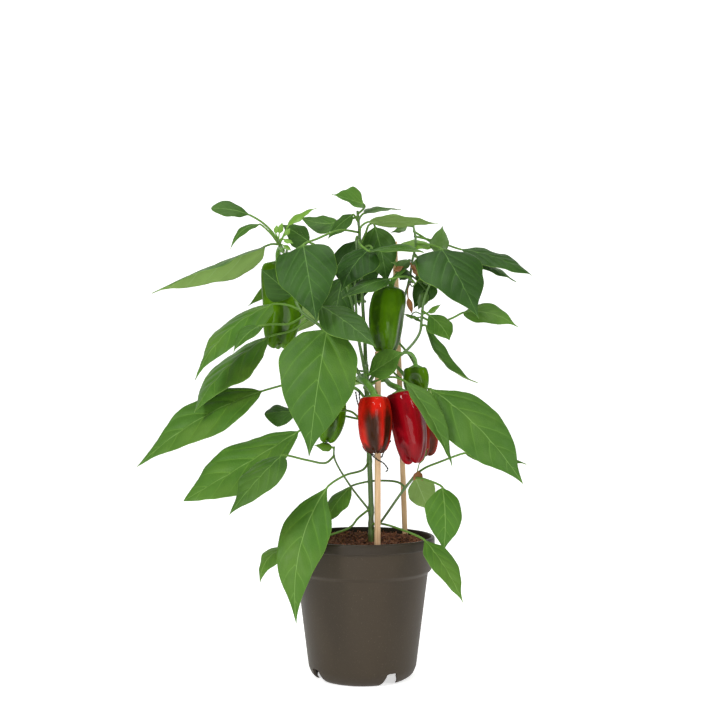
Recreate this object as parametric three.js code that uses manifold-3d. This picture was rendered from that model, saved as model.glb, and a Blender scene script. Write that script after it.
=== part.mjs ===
// A bell pepper plant in a nursery pot, with two wooden stakes, wire ties,
// leaves on long stalks and seven blocky peppers in green and red.
//
// Millimetres, +Z up. The origin is the centre of the pot's underside, so the
// pot stands on z = 0. -Y is the front of the plant and +X is its right.
//
// Every grown piece is a closed loft: a row of rings with the same number of
// points, joined by triangles and closed at both ends.

import * as THREE from 'three';
import { mergeVertices } from 'three/addons/utils/BufferGeometryUtils.js';
import Module from 'manifold-3d';

const wasm = await Module();
wasm.setup();

// ---------------------------------------------------------------- sizes

const GAP = 0.3;              // air left where two pieces touch

const POT = {
  height: 161,
  wall: 1.8,
  lipRadius: 85,              // outside of the rolled lip
  lipHeight: 11.5,
  collarTopRadius: 82.4,      // the straight band under the lip
  collarBottomRadius: 81.2,
  collarBottom: 123,          // height at which the band steps in
  step: 4,
  bodyTopRadius: 77,          // the tapered body starts here, at collarBottom - step
  bodyBottomRadius: 62.9,     // and ends here, above the rounded corner
  cornerHeight: 11,
  footRadius: 54,
  skirt: 2.2,                 // thickness of the foot ring under the raised floor
  floorUnderside: 14,         // the floor is raised between foot ring and centre foot
  floorCorner: 3,             // bevel between the floor and the wall, inside
  centreFoot: [14, 18],       // radius at its base and under the floor
  segments: 32,
  notchAngles: [-58, 32, 122, 212],   // seen from above, from the front, to the right
  notchBaseWidth: 25,
  notchTopWidth: 14,
  notchHeight: 13.8,
};

const SOIL = {
  edgeHeight: 149,
  centreHeight: 152,
  backRise: 5,                // the mix is heaped towards the back stake
  lump: 1.6,
  clearance: 0.4,
};

const STAKE_WIDTH = 6.2;
const STEM_RADIUS = 3.3;
const STALK_RADIUS = 1.2;     // leaf stalks
const BLADE_THICKNESS = 0.8;
const EDGE_THICKNESS = 0.6;
const EDGE_DROOP = 0.12;      // how far a blade's margins curl under, per half width
const WIRE_RADIUS = 0.8;

// Materials: colour, roughness.
const FINISH = {
  pot: [0x4e463b, 0.55],
  soil: [0x3b2620, 0.95],
  wood: [0xd9bb97, 0.75],
  wire: [0x14211a, 0.5],
  stem: [0x5c8a3a, 0.55],
  leaf: [0x3f7a30, 0.5],
  green: [0x4f8420, 0.25],
  scarlet: [0xc4281a, 0.2],
  crimson: [0xb8102a, 0.2],
  maroon: [0x8e2415, 0.25],
};

// Limbs of the stem: their way, and the radius at the start and the end.
const LIMBS = [
  { way: [[11, 0, 112], [10, 0, 161], [10, 0, 194], [9, 0, 226], [8, 0, 251], [7, 2, 297], [5, 4, 334],
    [4, 5, 362]], radius: [STEM_RADIUS, 2.7] },
  { way: [[5, 4, 336], [-21, -6, 377], [-49, -20, 406], [-72, -30, 424], [-82, -30, 453], [-90, -28, 486],
    [-99, -24, 508]], radius: [2.3, 1.3] },
  { way: [[4, 5, 354], [3, 10, 386], [0, 12, 440], [-2, 8, 485], [-4, 0, 523], [-6, -4, 545]],
    radius: [2.4, 1.3] },
  { way: [[4, 4, 348], [-6, 12, 398], [-14, 16, 441], [-29, 10, 478], [-48, 4, 499], [-60, 2, 507]],
    radius: [1.7, 1.2] },
  { way: [[4, 4, 352], [-5, -4, 397], [-8, -8, 438], [-9, 4, 469], [-7, 24, 495], [-8, 40, 517]],
    radius: [1.7, 1.2] },
  { way: [[5, 4, 336], [19, 18, 361], [36, 30, 399], [48, 32, 436], [57, 26, 466], [60, 18, 487],
    [64, 10, 509], [61, 8, 530]], radius: [2.3, 1.2] },
  { way: [[4, 4, 348], [27, -4, 364], [48, -8, 375], [67, -8, 398], [70, -8, 417], [72, -6, 434],
    [78, -4, 453], [88, -6, 476], [91, -8, 492]], radius: [1.9, 1.1] },
  { way: [[10, 0, 188], [-16, -6, 222], [-33, -12, 253], [-33, -12, 266]], radius: [1.3, 1.0] },
  { way: [[10, 0, 162], [22, -6, 178], [50, -12, 218], [64, -16, 235]], radius: [1.4, 1.6] },
];

// Small young leaves and buds that grow straight from the stem.
const YOUNG_LEAVES = [
  { stalk: [[-96, -25, 503], [-87, -21, 524]], tip: [-53, -12, 547], face: [-0.4, -0.7, 0.6],
    width: 15, bow: -5 },
  { stalk: [[89, -8, 488], [88, -2, 494]], tip: [96, 4, 529], face: [0, -1, 0.2], width: 23 },
  { stalk: [[70, -8, 421], [77, -11, 423]], tip: [92, -18, 432], face: [-0.5, -0.8, 0.5], width: 9 },
  { stalk: [[61, 8, 528], [54, 9, 529]], tip: [34, 10, 521], face: [-0.3, -0.7, 0.7], width: 12 },
  { stalk: [[61, 16, 494], [72, 34, 494], [84, 40, 498], [92, 33, 503], [87, 26, 506]], tip: [37, 26, 502],
    face: [0, -0.45, 0.9], width: 36, arch: 8 },
  { stalk: [[70, -8, 418], [62, -12, 417]], tip: [48, -14, 421], face: [0, -0.6, 0.8], width: 8 },
  { stalk: [[-33, -12, 262], [-35, -12, 265]], tip: [-56, -16, 267], face: [0, -0.7, 0.7], width: 15 },
  { stalk: [[-98, -24, 506], [-97, -26, 514]], tip: [-93, -30, 527], face: [0.3, -1, 0], width: 7 },
  { stalk: [[-98, -24, 506], [-91, -28, 507]], tip: [-80, -34, 501], face: [0.2, -0.8, 0.6], width: 8 },
  { stalk: [[63, -16, 233], [66, -19, 246]], tip: [76, -20, 264], face: [-0.6, -0.7, 0.2], width: 5 },
  { stalk: [[58, 22, 472], [67, 13, 463], [77, 8, 450]], tip: [66, 5, 427], face: [0, -0.9, 0.3],
    width: 14 },
  { stalk: [[-90, -28, 487], [-90, 6, 500], [-98, 42, 474]], tip: [-140, 26, 433], face: [-0.37, 0.93, 0],
    width: 14 },
];

// Leaves. The stalk runs from its limb to the base of the blade, and the blade
// from there to the tip. face: where the upper side looks. belly: how far down
// the blade it is widest. shoulder: how square the base is. arch: how far the
// middle of the rib stands out towards the face. bow: sideways bend of the
// rib. fold: how far the two halves stand up from the rib, in radians. twist:
// turn of the tip, in radians. wave: height of the waves of the margin.
const LEAVES = [
  { name: 'leaf_top_1', stalk: [[-6, -4, 541], [0, -3, 546], [3, -6, 550], [1, -9, 552]],
    tip: [-36, -28, 560],
    face: [0.45, -0.65, 0.6], width: 40, belly: 0.24, shoulder: 0.5, fold: 0.4 },
  { name: 'leaf_top_2', stalk: [[-5, -2, 531], [-3, 2, 538], [1, 4, 543]], tip: [47, 20, 551],
    face: [0, -0.3, 0.95], width: 40, arch: 2, fold: 0.2 },
  { name: 'leaf_top_3', stalk: [[-3, 2, 516], [-2, -8, 525], [6, -12, 530]], tip: [89, -24, 526],
    face: [0, 0.2, 1], width: 40, arch: 2, fold: 0.1 },
  { name: 'leaf_top_4', stalk: [[-6, -4, 538], [-18, 10, 536], [-29, 16, 535]], tip: [-77, 14, 542],
    face: [-0.2, -0.7, 0.65], width: 34, arch: -6 },
  { name: 'leaf_top_5', stalk: [[-59, 2, 506], [-63, 1, 508]], tip: [-97, -8, 528],
    face: [0.2, -0.85, 0.5], width: 36, belly: 0.3, arch: 2 },
  { name: 'leaf_top_6', stalk: [[-5, -2, 532], [-11, -12, 539]], tip: [-41, -6, 511],
    face: [-0.4, -0.75, 0.5], width: 25, arch: 3 },
  { name: 'leaf_top_7', stalk: [[-3, 5, 505], [4, 18, 522], [8, 24, 533], [13, 24, 535], [15, 23, 531]],
    tip: [30, 28, 460],
    face: [0.2, -0.9, 0.4], width: 46, arch: 4 },
  { name: 'leaf_top_8', stalk: [[-8, 40, 516], [-7, 44, 522], [-6, 47, 522], [-6, 48, 519]],
    tip: [-4, 62, 436],
    face: [0, -0.85, 0.45], width: 60, shoulder: 0.7, arch: 6, wave: 1 },
  { name: 'leaf_left_1', stalk: [[-99, -23, 507], [-107, -23, 518], [-117, -28, 527], [-130, -34, 534]],
    tip: [-173, -50, 539], face: [-0.1, -0.8, 0.55], width: 27, belly: 0.7, shoulder: 0.6, arch: 4, bow: -1,
    fold: 0.2 },
  { name: 'leaf_left_2', stalk: [[-96, -26, 499], [-106, -42, 512], [-117, -48, 521]],
    tip: [-149, -64, 490], face: [-0.3, -0.7, 0.6], width: 15, arch: 9 },
  { name: 'leaf_left_3', stalk: [[-97, -21, 502], [-106, -18, 503], [-112, -24, 500]],
    tip: [-239, -55, 441],
    face: [-0.05, 0.33, 0.94], width: 54, belly: 0.32, shoulder: 0.6, arch: 3, fold: -0.46, wave: 1.5 },
  { name: 'leaf_left_4', stalk: [[-77, -30, 434], [-80, -38, 440]], tip: [-116, -52, 469],
    face: [-0.4, -0.85, 0.3], width: 44, arch: 3 },
  { name: 'leaf_left_5', stalk: [[-72, -30, 424], [-85, -37, 429], [-101, -44, 430]],
    tip: [-184, -88, 342], face: [-0.45, -0.65, 0.6], width: 57, arch: 12, bow: 6, fold: -0.1, wave: 1.5 },
  { name: 'leaf_left_6', stalk: [[-66, -27, 419], [-83, -46, 407], [-101, -66, 405], [-114, -80, 402]],
    tip: [-140, -104, 371], face: [-0.3, -0.8, 0.5], width: 22, arch: 5, fold: 0.2 },
  { name: 'leaf_left_7', stalk: [[-62, -25, 415], [-83, -10, 402], [-108, -14, 395]],
    tip: [-188, -66, 306], face: [-0.5, -0.6, 0.6], width: 69, belly: 0.4, arch: 4, bow: 12, fold: -0.1,
    wave: 1.5 },
  { name: 'leaf_left_8', stalk: [[5, 4, 338], [-38, -14, 352], [-90, -24, 338], [-114, -28, 331]],
    tip: [-251, -70, 245], face: [-0.3, -0.75, 0.6], width: 65, belly: 0.38, arch: 8, bow: 6, fold: 0.12,
    wave: 2.5 },
  { name: 'leaf_left_9', stalk: [[7, 2, 297], [-6, 9, 298], [-21, 15, 301], [-51, 15, 306], [-72, 12, 305]],
    tip: [-116, 0, 303],
    face: [-0.2, -0.7, 0.7], width: 38, belly: 0.7, arch: 3, fold: -0.15, wave: 1.5 },
  { name: 'leaf_left_10', stalk: [[7, 2, 284], [-14, -22, 307], [-43, -44, 303], [-70, -54, 286]],
    tip: [-195, -92, 210], face: [-0.3, -0.7, 0.65], width: 76, belly: 0.53, shoulder: 0.8, arch: 2, bow: -3,
    fold: 0.12, wave: 2.5 },
  { name: 'leaf_left_11', stalk: [[-33, -12, 255], [-42, -32, 248], [-62, -66, 253], [-87, -96, 260]],
    tip: [-139, -138, 200], face: [-0.4, -0.75, 0.5], width: 45, belly: 0.4, shoulder: 0.65, arch: 8, bow: -4,
    wave: 1.5 },
  { name: 'leaf_front_1', stalk: [[-4, 1, 520], [-26, -26, 518], [-52, -60, 502], [-66, -76, 493]],
    tip: [-49, -110, 402], face: [-0.03, -0.97, 0.25], width: 68, belly: 0.3, shoulder: 0.25, arch: 5,
    wave: 1.5 },
  { name: 'leaf_front_2', stalk: [[-3, 4, 500], [8, -12, 502], [11, -20, 498]], tip: [-24, -50, 443],
    face: [-0.3, -0.8, 0.5], width: 50, arch: 5, bow: 3, wave: 1 },
  { name: 'leaf_front_3', stalk: [[57, 26, 464], [61, -4, 460], [50, -26, 464], [32, -34, 460]],
    tip: [-23, -66, 434],
    face: [-0.1, -0.6, 0.8], width: 32, arch: 4 },
  { name: 'leaf_front_4', stalk: [[-47, -19, 404], [-49, -48, 419], [-47, -62, 426]], tip: [15, -108, 377],
    face: [0.25, -0.85, 0.45], width: 46, belly: 0.4, arch: 4 },
  { name: 'leaf_front_5', stalk: [[-38, -14, 394], [-36, -45, 408], [-39, -76, 400]], tip: [-58, -100, 257],
    face: [0, -0.97, 0.2], width: 88, belly: 0.32, shoulder: 0.6, arch: 8, bow: 1, wave: 2.5 },
  { name: 'leaf_front_6', stalk: [[3, 6, 362], [5, -22, 360], [6, -36, 355], [7, -42, 349]],
    tip: [46, -58, 374],
    face: [-0.2, -0.8, 0.5], width: 39, belly: 0.46, fold: 0.2 },
  { name: 'leaf_front_7', stalk: [[-4, 2, 512], [-3, -24, 502], [8, -34, 492]], tip: [70, -56, 487],
    face: [0, -0.33, 0.94], width: 48, belly: 0.45, arch: 4, fold: 0.15 },
  { name: 'leaf_right_1', stalk: [[64, 10, 508], [80, -6, 504], [92, -26, 496]], tip: [130, -74, 410],
    face: [0.2, -0.8, 0.55], width: 81, belly: 0.3, shoulder: 0.3, arch: 8, bow: 3, wave: 2 },
  { name: 'leaf_right_2', stalk: [[62, 10, 517], [92, 18, 511], [118, 16, 502]], tip: [202, 0, 468],
    face: [0.15, -0.55, 0.8], width: 46, belly: 0.42, arch: 6, wave: 1.5 },
  { name: 'leaf_right_3', stalk: [[61, 9, 523], [94, 28, 507], [132, 32, 493]], tip: [188, 30, 464],
    face: [0.15, -0.5, 0.85], width: 26, arch: 2 },
  { name: 'leaf_right_4', stalk: [[70, -8, 418], [88, 4, 412], [106, -2, 417], [118, -8, 423]],
    tip: [181, -30, 404], face: [0.1, -0.75, 0.65], width: 38, arch: 10 },
  { name: 'leaf_right_5', stalk: [[70, -8, 426], [77, -16, 420]], tip: [100, -38, 388],
    face: [0.2, -0.9, 0.4], width: 31, belly: 0.42, bow: -4 },
  { name: 'leaf_right_6', stalk: [[69, -8, 408], [75, -6, 408]], tip: [134, -26, 340],
    face: [0.6, -0.5, 0.6], width: 30, arch: -15, fold: 0.5 },
  { name: 'leaf_right_7', stalk: [[36, 30, 399], [60, 30, 370], [74, 13, 328], [76, -22, 322],
    [77, -43, 333]],
    tip: [175, -92, 228], face: [0.2, -0.85, 0.5], width: 71, belly: 0.42, arch: 9, bow: -4, fold: 0.1,
    wave: 2.5 },
  { name: 'leaf_right_8', stalk: [[5, 4, 332], [3, -34, 336], [13, -42, 341], [34, -54, 346], [48, -64, 341]],
    tip: [97, -106, 247], face: [0.5, -0.75, 0.4], width: 34, arch: 8, fold: 0.45 },
  { name: 'leaf_right_9', stalk: [[64, -14, 235], [74, -9, 241], [88, -13, 247], [119, -12, 258]],
    tip: [191, -18, 245], face: [0.1, -0.5, 0.9], width: 28, arch: 4 },
  { name: 'leaf_right_10', stalk: [[80, -4, 459], [84, 8, 468], [84, 13, 469], [83, 15, 466]],
    tip: [62, 18, 430],
    face: [-0.1, -0.8, 0.5], width: 32, arch: 4 },
  { name: 'leaf_low_1', stalk: [[8, 0, 248], [1, -12, 239], [-20, -38, 234], [-38, -62, 224]],
    tip: [-69, -128, 84], face: [-0.15, -0.95, 0.35], width: 54, belly: 0.37, arch: 10, bow: 13, wave: 2.5 },
  { name: 'leaf_low_2', stalk: [[50, -12, 218], [42, 4, 223], [27, 14, 224], [7, 14, 223], [-13, 10, 218]],
    tip: [-46, -14, 173], face: [-0.5, -0.7, 0.5], width: 30, belly: 0.45, arch: 4, wave: 1 },
  { name: 'leaf_low_3', stalk: [[10, 0, 193], [-5, -16, 183], [-13, -30, 175], [-36, -58, 169],
    [-84, -70, 157]], tip: [-112, -86, 119], face: [-0.5, -0.6, 0.6], width: 32, belly: 0.3, arch: 12 },
  { name: 'leaf_low_4', stalk: [[59, -15, 230], [62, -6, 229]], tip: [79, 8, 189],
    face: [-0.2, 0.9, 0.35], width: 34, belly: 0.42, arch: 3 },
  { name: 'leaf_low_5', stalk: [[61, -17, 230], [72, -30, 229], [91, -40, 221]], tip: [91, -54, 149],
    face: [0.1, -0.95, 0.3], width: 43, belly: 0.38, arch: 4, bow: -2, wave: 1.5 },
  { name: 'leaf_low_6', stalk: [[10, 0, 174], [22, -12, 176], [48, -46, 172], [68, -74, 166]],
    tip: [107, -114, 104], face: [0.5, -0.7, 0.5], width: 38, belly: 0.36, arch: 5, fold: 0.15, wave: 1 },
  { name: 'leaf_back_1', stalk: [[4, 4, 354], [-13, 36, 356], [-24, 54, 352]], tip: [-57, 138, 304],
    face: [-0.2, 0.5, 0.85], width: 70, arch: 14, wave: 2.5 },
  { name: 'leaf_back_2', stalk: [[24, 22, 370], [42, 34, 350], [60, 42, 338], [84, 62, 334]],
    tip: [150, 120, 262],
    face: [0.4, 0.5, 0.8], width: 68, arch: 12, wave: 2.5 },
  { name: 'leaf_back_3', stalk: [[0, 12, 441], [3, 33, 440], [-12, 50, 443], [-38, 56, 444]],
    tip: [-92, 110, 400],
    face: [-0.4, 0.6, 0.7], width: 56, arch: 12, wave: 2 },
  { name: 'leaf_back_4', stalk: [[-17, 15, 447], [-17, 30, 464], [-18, 38, 475], [-21, 42, 477],
    [-24, 43, 472]],
    tip: [-36, 42, 402],
    face: [-0.2, -0.9, 0.3], width: 46, arch: 4, wave: 1 },
];
const LEAF_DEFAULTS = { belly: 0.35, shoulder: 1, arch: 0, bow: 0, fold: 0, twist: 0, wave: 0 };

// Peppers: crown is where the fruit stalk sits, end is the bottom between the
// lobes. stalk is the way of the fruit stalk from its limb to the crown.
const PEPPERS = [
  { name: 'pepper_red_1', finish: 'scarlet', crown: [13, -56, 324], end: [15.5, -57, 261], radius: 17.8,
    lobes: 4, turn: 1.48, bow: 0, stalk: [[4, 5, 350], [-4, -24, 346], [4, -48, 340]], stalkRadius: 3.2 },
  { name: 'pepper_red_2', finish: 'crimson', crown: [44, -34, 329], end: [59, -41, 249], radius: 20,
    lobes: 3, turn: 1.57, bow: 3, stalk: [[5, 4, 338], [25, 2, 344], [33, -20, 338]], stalkRadius: 2.8 },
  { name: 'pepper_red_3', finish: 'maroon', crown: [68, 10, 308], end: [75, 8, 254], radius: 17,
    lobes: 4, turn: 0.2, bow: 0, stalk: [[26, 23, 375], [48, 33, 354], [64, 25, 328]], stalkRadius: 2.2 },
  { name: 'pepper_green_1', finish: 'green', crown: [-101, 10, 484], end: [-100, 6, 383], radius: 23,
    lobes: 3, turn: 2.62, bow: 4, stalk: [[-93, -27, 494], [-97, -8, 501], [-101, 6, 496]],
    stalkRadius: 2.6 },
  { name: 'pepper_green_2', finish: 'green', crown: [34, 2, 453], end: [28, 2, 376], radius: 20.4,
    lobes: 3, turn: 1.57, bow: -2, stalk: [[58, 24, 468], [51, 13, 475], [39, 4, 466]], stalkRadius: 2.6 },
  { name: 'pepper_green_3', finish: 'green', crown: [63, -2, 359], end: [64.5, -2, 325], radius: 14.6,
    lobes: 3, turn: 0.9, bow: 0, stalk: [[48, -8, 376], [57, -6, 375], [62, -4, 368]], stalkRadius: 2.0 },
  { name: 'pepper_green_4', finish: 'green', crown: [-35, -5, 329], end: [-42, -10, 271], radius: 14.6,
    lobes: 3, turn: 2.6, bow: 3, stalk: [[5, 4, 320], [-7, 4, 333], [-21, 0, 337]], stalkRadius: 2.0 },
];

// The wire ties: each goes round the stem and the front stake.
const TIES = [
  { name: 'tie_lower', way: [[33, -24, 273], [26, -34, 264], [23, -36, 257], [22, -20, 254], [14, 7, 255],
    [6, 8, 258], [1, 1, 264], [1, -8, 268], [6, -18, 264], [11, -34, 257], [17, -37, 252], [24, -39, 248],
    [29, -37, 241], [27, -33, 238]] },
  { name: 'tie_upper', way: [[-8, -12, 330], [-6, -8, 318], [-3, -2, 310], [2, 8, 306], [12, 9, 303],
    [24, -18, 297], [23.5, -31, 296], [17, -34, 297], [10, -32, 302], [2, -14, 312], [-3, -8, 320],
    [-4, -10, 332]] },
];

const STAKES = [
  { name: 'stake_front', foot: [17, -24.5, 60], head: [18, -30, 376], turn: 0.25 },
  { name: 'stake_back', foot: [53.2, 47.3, 124], head: [40, 54, 517], turn: 0.05 },
];

// ---------------------------------------------------------------- lofting

const vector = ([x, y, z]) => new THREE.Vector3(x, y, z);

// A seeded draw between -1 and 1 that depends only on its number.
const draw = (seed) => {
  const s = Math.sin(seed * 127.1 + 11.7) * 43758.5453;
  return 2 * (s - Math.floor(s)) - 1;
};

// Turns a geometry with shared vertices into a solid.
function solidOf(geometry) {
  const bare = geometry.clone();
  bare.deleteAttribute('normal');
  bare.deleteAttribute('uv');
  const merged = mergeVertices(bare, 1e-4);
  return new wasm.Manifold(new wasm.Mesh({
    numProp: 3,
    vertProperties: new Float32Array(merged.attributes.position.array),
    triVerts: new Uint32Array(merged.index.array),
  }));
}

// The biggest single body of a solid, as a geometry: loose scraps are dropped.
function geometryOf(solid) {
  const bodies = solid.decompose();
  bodies.sort((a, b) => b.volume() - a.volume());
  const mesh = bodies[0].getMesh();
  const geometry = new THREE.BufferGeometry();
  geometry.setAttribute('position', new THREE.BufferAttribute(new Float32Array(mesh.vertProperties), 3));
  geometry.setIndex(new THREE.BufferAttribute(new Uint32Array(mesh.triVerts), 1));
  return geometry;
}

// Joins rings of points into a closed skin. Each four-sided patch is split
// along one diagonal, or along the other where otherDiagonal(j) is true.
function loft(rings, otherDiagonal = () => false) {
  const count = rings[0].length;
  const points = rings.flat();
  const index = [];
  for (let i = 0; i < rings.length - 1; i += 1) {
    for (let j = 0; j < count; j += 1) {
      const a = i * count + j;
      const b = i * count + ((j + 1) % count);
      const c = b + count;
      const d = a + count;
      if (otherDiagonal(j)) index.push(a, b, d, b, c, d);
      else index.push(a, b, c, a, c, d);
    }
  }
  for (const end of [0, rings.length - 1]) {
    const middle = new THREE.Vector3();
    for (const point of rings[end]) middle.addScaledVector(point, 1 / count);
    points.push(middle);
    for (let j = 0; j < count; j += 1) {
      const a = end * count + j;
      const b = end * count + ((j + 1) % count);
      if (end === 0) index.push(points.length - 1, b, a);
      else index.push(points.length - 1, a, b);
    }
  }
  let volume = 0;
  for (let i = 0; i < index.length; i += 3) {
    const [a, b, c] = [points[index[i]], points[index[i + 1]], points[index[i + 2]]];
    volume += a.dot(b.clone().cross(c));
  }
  if (volume < 0) {
    for (let i = 0; i < index.length; i += 3) [index[i], index[i + 1]] = [index[i + 1], index[i]];
  }
  const geometry = new THREE.BufferGeometry();
  geometry.setAttribute('position',
    new THREE.Float32BufferAttribute(points.flatMap((p) => [p.x, p.y, p.z]), 3));
  geometry.setIndex(index);
  return geometry;
}

// The part of a direction that stands square to another, as a unit vector.
function squareTo(direction, axis) {
  const result = direction.clone().addScaledVector(axis, -direction.dot(axis));
  return result.normalize();
}

// A round rod along a smooth way, with a radius that runs evenly from one end
// to the other.
function rod(way, [startRadius, endRadius], { sides = 6, stations = Math.ceil(way.length * 1.25) } = {}) {
  const curve = new THREE.CatmullRomCurve3(way.map(vector), false, 'centripetal');
  const rings = [];
  let across = new THREE.Vector3(0.3, 1, 0.2);
  for (let i = 0; i < stations; i += 1) {
    const t = i / (stations - 1);
    const centre = curve.getPoint(t);
    const along = curve.getTangent(t);
    across = squareTo(across, along);
    const up = along.clone().cross(across);
    const radius = startRadius + (endRadius - startRadius) * t;
    const ring = [];
    for (let j = 0; j < sides; j += 1) {
      const angle = (j / sides) * 2 * Math.PI;
      ring.push(centre.clone()
        .addScaledVector(across, radius * Math.cos(angle))
        .addScaledVector(up, radius * Math.sin(angle)));
    }
    rings.push(ring);
  }
  return loft(rings);
}

// ---------------------------------------------------------------- leaves

// Half width of a blade, as a share of the widest, from 0 at the base to 0 at
// the drip tip, widest at t = belly. Above the belly it is raised to the power
// of the shoulder: 1 is a wedge, and less is a squarer, heart-like base.
function outline(t, belly, shoulder) {
  const oval = (t / belly) ** (2 * belly) * ((1 - t) / (1 - belly)) ** (2 * (1 - belly));
  return t < belly ? oval ** shoulder : oval;
}

const BLADE_STATIONS = [0.05, 0.2, 0.4, 0.6, 0.8, 0.96];
const YOUNG_STATIONS = [0.1, 0.45, 0.95];
const ACROSS = [-1, -0.5, 0, 0.5, 1];      // points across a blade, as shares of its half width
const ACROSS_SMALL = [-1, 0, 1];           // the same for a small leaf
const SMALL_WIDTH = 42;

// A leaf: a round stalk that opens into a blade with two matching faces.
function leafGeometry(leaf, stations = BLADE_STATIONS) {
  const { stalk, tip, face, width, belly, shoulder, arch, bow, fold, twist, wave } = {
    ...LEAF_DEFAULTS, ...leaf,
  };
  const base = vector(stalk[stalk.length - 1]);
  const chord = vector(tip).sub(base);
  const up0 = squareTo(vector(face), chord.clone().normalize());
  const side0 = chord.clone().normalize().cross(up0);
  const rib = (t) => base.clone()
    .addScaledVector(chord, t)
    .addScaledVector(up0, arch * 4 * t * (1 - t))
    .addScaledVector(side0, bow * 4 * t * (1 - t));
  const half = width / 2;
  const sheet = Math.min(1, width / 20);
  const across = width < SMALL_WIDTH ? ACROSS_SMALL : ACROSS;
  const sides = 2 * across.length;

  const blade = stations.map((t) => {
    const centre = rib(t);
    const along = rib(t + 0.01).sub(rib(t - 0.01)).normalize();
    const flatUp = squareTo(up0, along);
    const up = flatUp.clone().applyAxisAngle(along, twist * t);
    const side = along.clone().cross(up);
    const reach = half * outline(t, belly, shoulder);
    const at = (v, offset) => centre.clone()
      .addScaledVector(side, reach * v * Math.cos(fold))
      .addScaledVector(up, reach * (Math.abs(v) * Math.sin(fold) - v * v * EDGE_DROOP)
        + wave * v * v * Math.sin(Math.PI * t) * Math.sin(4 * Math.PI * t + Math.sign(v) * 0.8) + offset);
    const thick = (v) => (BLADE_THICKNESS + (EDGE_THICKNESS - BLADE_THICKNESS) * v * v) / 2;
    const ribDepth = 0.9 * sheet * (1 - t);
    return [
      ...across.map((v) => at(v, thick(v))),
      ...[...across].reverse().map((v) => at(v, -thick(v) - (v === 0 ? ribDepth : 0))),
    ];
  });

  const way = new THREE.CatmullRomCurve3([...stalk.map(vector), rib(0.05)], false, 'centripetal');
  const count = stalk.length;
  const stem = [];
  let up = squareTo(up0, way.getTangent(1));
  for (let i = count - 1; i >= 0; i -= 1) {
    const t = (i / (count - 1)) * (1 - 0.6 / stalk.length);
    const along = way.getTangent(t);
    up = squareTo(up, along);
    const side = along.clone().cross(up);
    const radius = STALK_RADIUS * sheet ** 0.5 * (1.15 - 0.15 * t);
    const ring = [];
    for (let j = 0; j < sides; j += 1) {
      const angle = Math.PI * (1 - (j + 0.5) / across.length);
      ring.push(way.getPoint(t)
        .addScaledVector(side, -radius * Math.cos(Math.PI - angle))
        .addScaledVector(up, radius * Math.sin(angle)));
    }
    stem.unshift(ring);
  }
  // The patches of the lower face are split as those of the upper one are.
  return loft([...stem, ...blade], (j) => j >= across.length && j < sides - 1);
}

// ---------------------------------------------------------------- peppers

// Side view of a pepper: share of the radius and share of the length.
const PEPPER_PROFILE = [[0.3, 0.06], [0.62, 0.005], [0.86, 0.05], [0.98, 0.17], [1, 0.35], [0.95, 0.56],
  [0.84, 0.76], [0.6, 0.93], [0.28, 0.985]];

// A lobed, slightly bent pepper. grow makes it fatter all round, for cutting
// the room that it needs out of its calyx.
function pepperGeometry({ crown, end, radius, lobes, turn, bow }, grow = 0) {
  const top = vector(crown);
  const axis = vector(end).sub(top);
  const length = axis.length();
  axis.normalize();
  const across = squareTo(new THREE.Vector3(1, 0.2, 0), axis);
  const other = axis.clone().cross(across);
  const sides = radius > 16 ? 16 : 12;
  const rings = PEPPER_PROFILE.map(([wide, down]) => {
    const ring = [];
    for (let j = 0; j < sides; j += 1) {
      const angle = (j / sides) * 2 * Math.PI;
      const lobe = Math.cos(lobes * (angle - turn));
      const deep = 0.06 + 0.1 * down;
      const reach = radius * wide * (1 + deep * lobe) + grow;
      const drop = length * (down + 0.035 * lobe * down ** 4);
      ring.push(top.clone()
        .addScaledVector(axis, drop + (down > 0.5 ? grow : -grow))
        .addScaledVector(across, bow * Math.sin(Math.PI * down) + reach * Math.cos(angle))
        .addScaledVector(other, reach * Math.sin(angle)));
    }
    return ring;
  });
  return loft(rings);
}

// The fruit stalk with its calyx, a five-lobed cap that lies on the crown.
function fruitStalkSolid(pepper) {
  const { crown, end, radius, stalk, stalkRadius } = pepper;
  const top = vector(crown);
  const axis = vector(end).sub(top).normalize();
  const neck = top.clone().addScaledVector(axis, -3);
  const way = [...stalk, [neck.x, neck.y, neck.z]];
  const rodSolid = solidOf(rod(way, [stalkRadius * 0.8, stalkRadius * 1.25], { stations: way.length + 1 }));
  const across = squareTo(new THREE.Vector3(1, 0.2, 0), axis);
  const other = axis.clone().cross(across);
  const calyx = [[1.0, -5], [0.7 * radius / stalkRadius, -0.4], [0.55 * radius / stalkRadius, 3.5]];
  const rings = calyx.map(([wide, down], row) => {
    const ring = [];
    for (let j = 0; j < 10; j += 1) {
      const angle = (j / 10) * 2 * Math.PI;
      const lobe = row > 0 ? 1 + 0.16 * Math.cos(5 * angle) : 1;
      const reach = stalkRadius * wide * lobe;
      ring.push(top.clone()
        .addScaledVector(axis, down)
        .addScaledVector(across, reach * Math.cos(angle))
        .addScaledVector(other, reach * Math.sin(angle)));
    }
    return ring;
  });
  return rodSolid.add(solidOf(loft(rings))).subtract(solidOf(pepperGeometry(pepper, GAP + 0.1)));
}

// ---------------------------------------------------------------- stem

// All the limbs in one. clearance makes them fatter, and longer at the foot,
// for cutting the room that they need out of the soil and the leaf stalks.
function stemSolid(clearance = 0) {
  let stem = null;
  for (const { way, radius } of LIMBS) {
    const [first, second] = way;
    const back = vector(first).sub(vector(second)).setLength(clearance);
    const longer = [[first[0] + back.x, first[1] + back.y, first[2] + back.z], ...way.slice(1)];
    const solid = solidOf(rod(longer, [radius[0] + clearance, radius[1] + clearance]));
    stem = stem ? stem.add(solid) : solid;
  }
  return stem;
}

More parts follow.
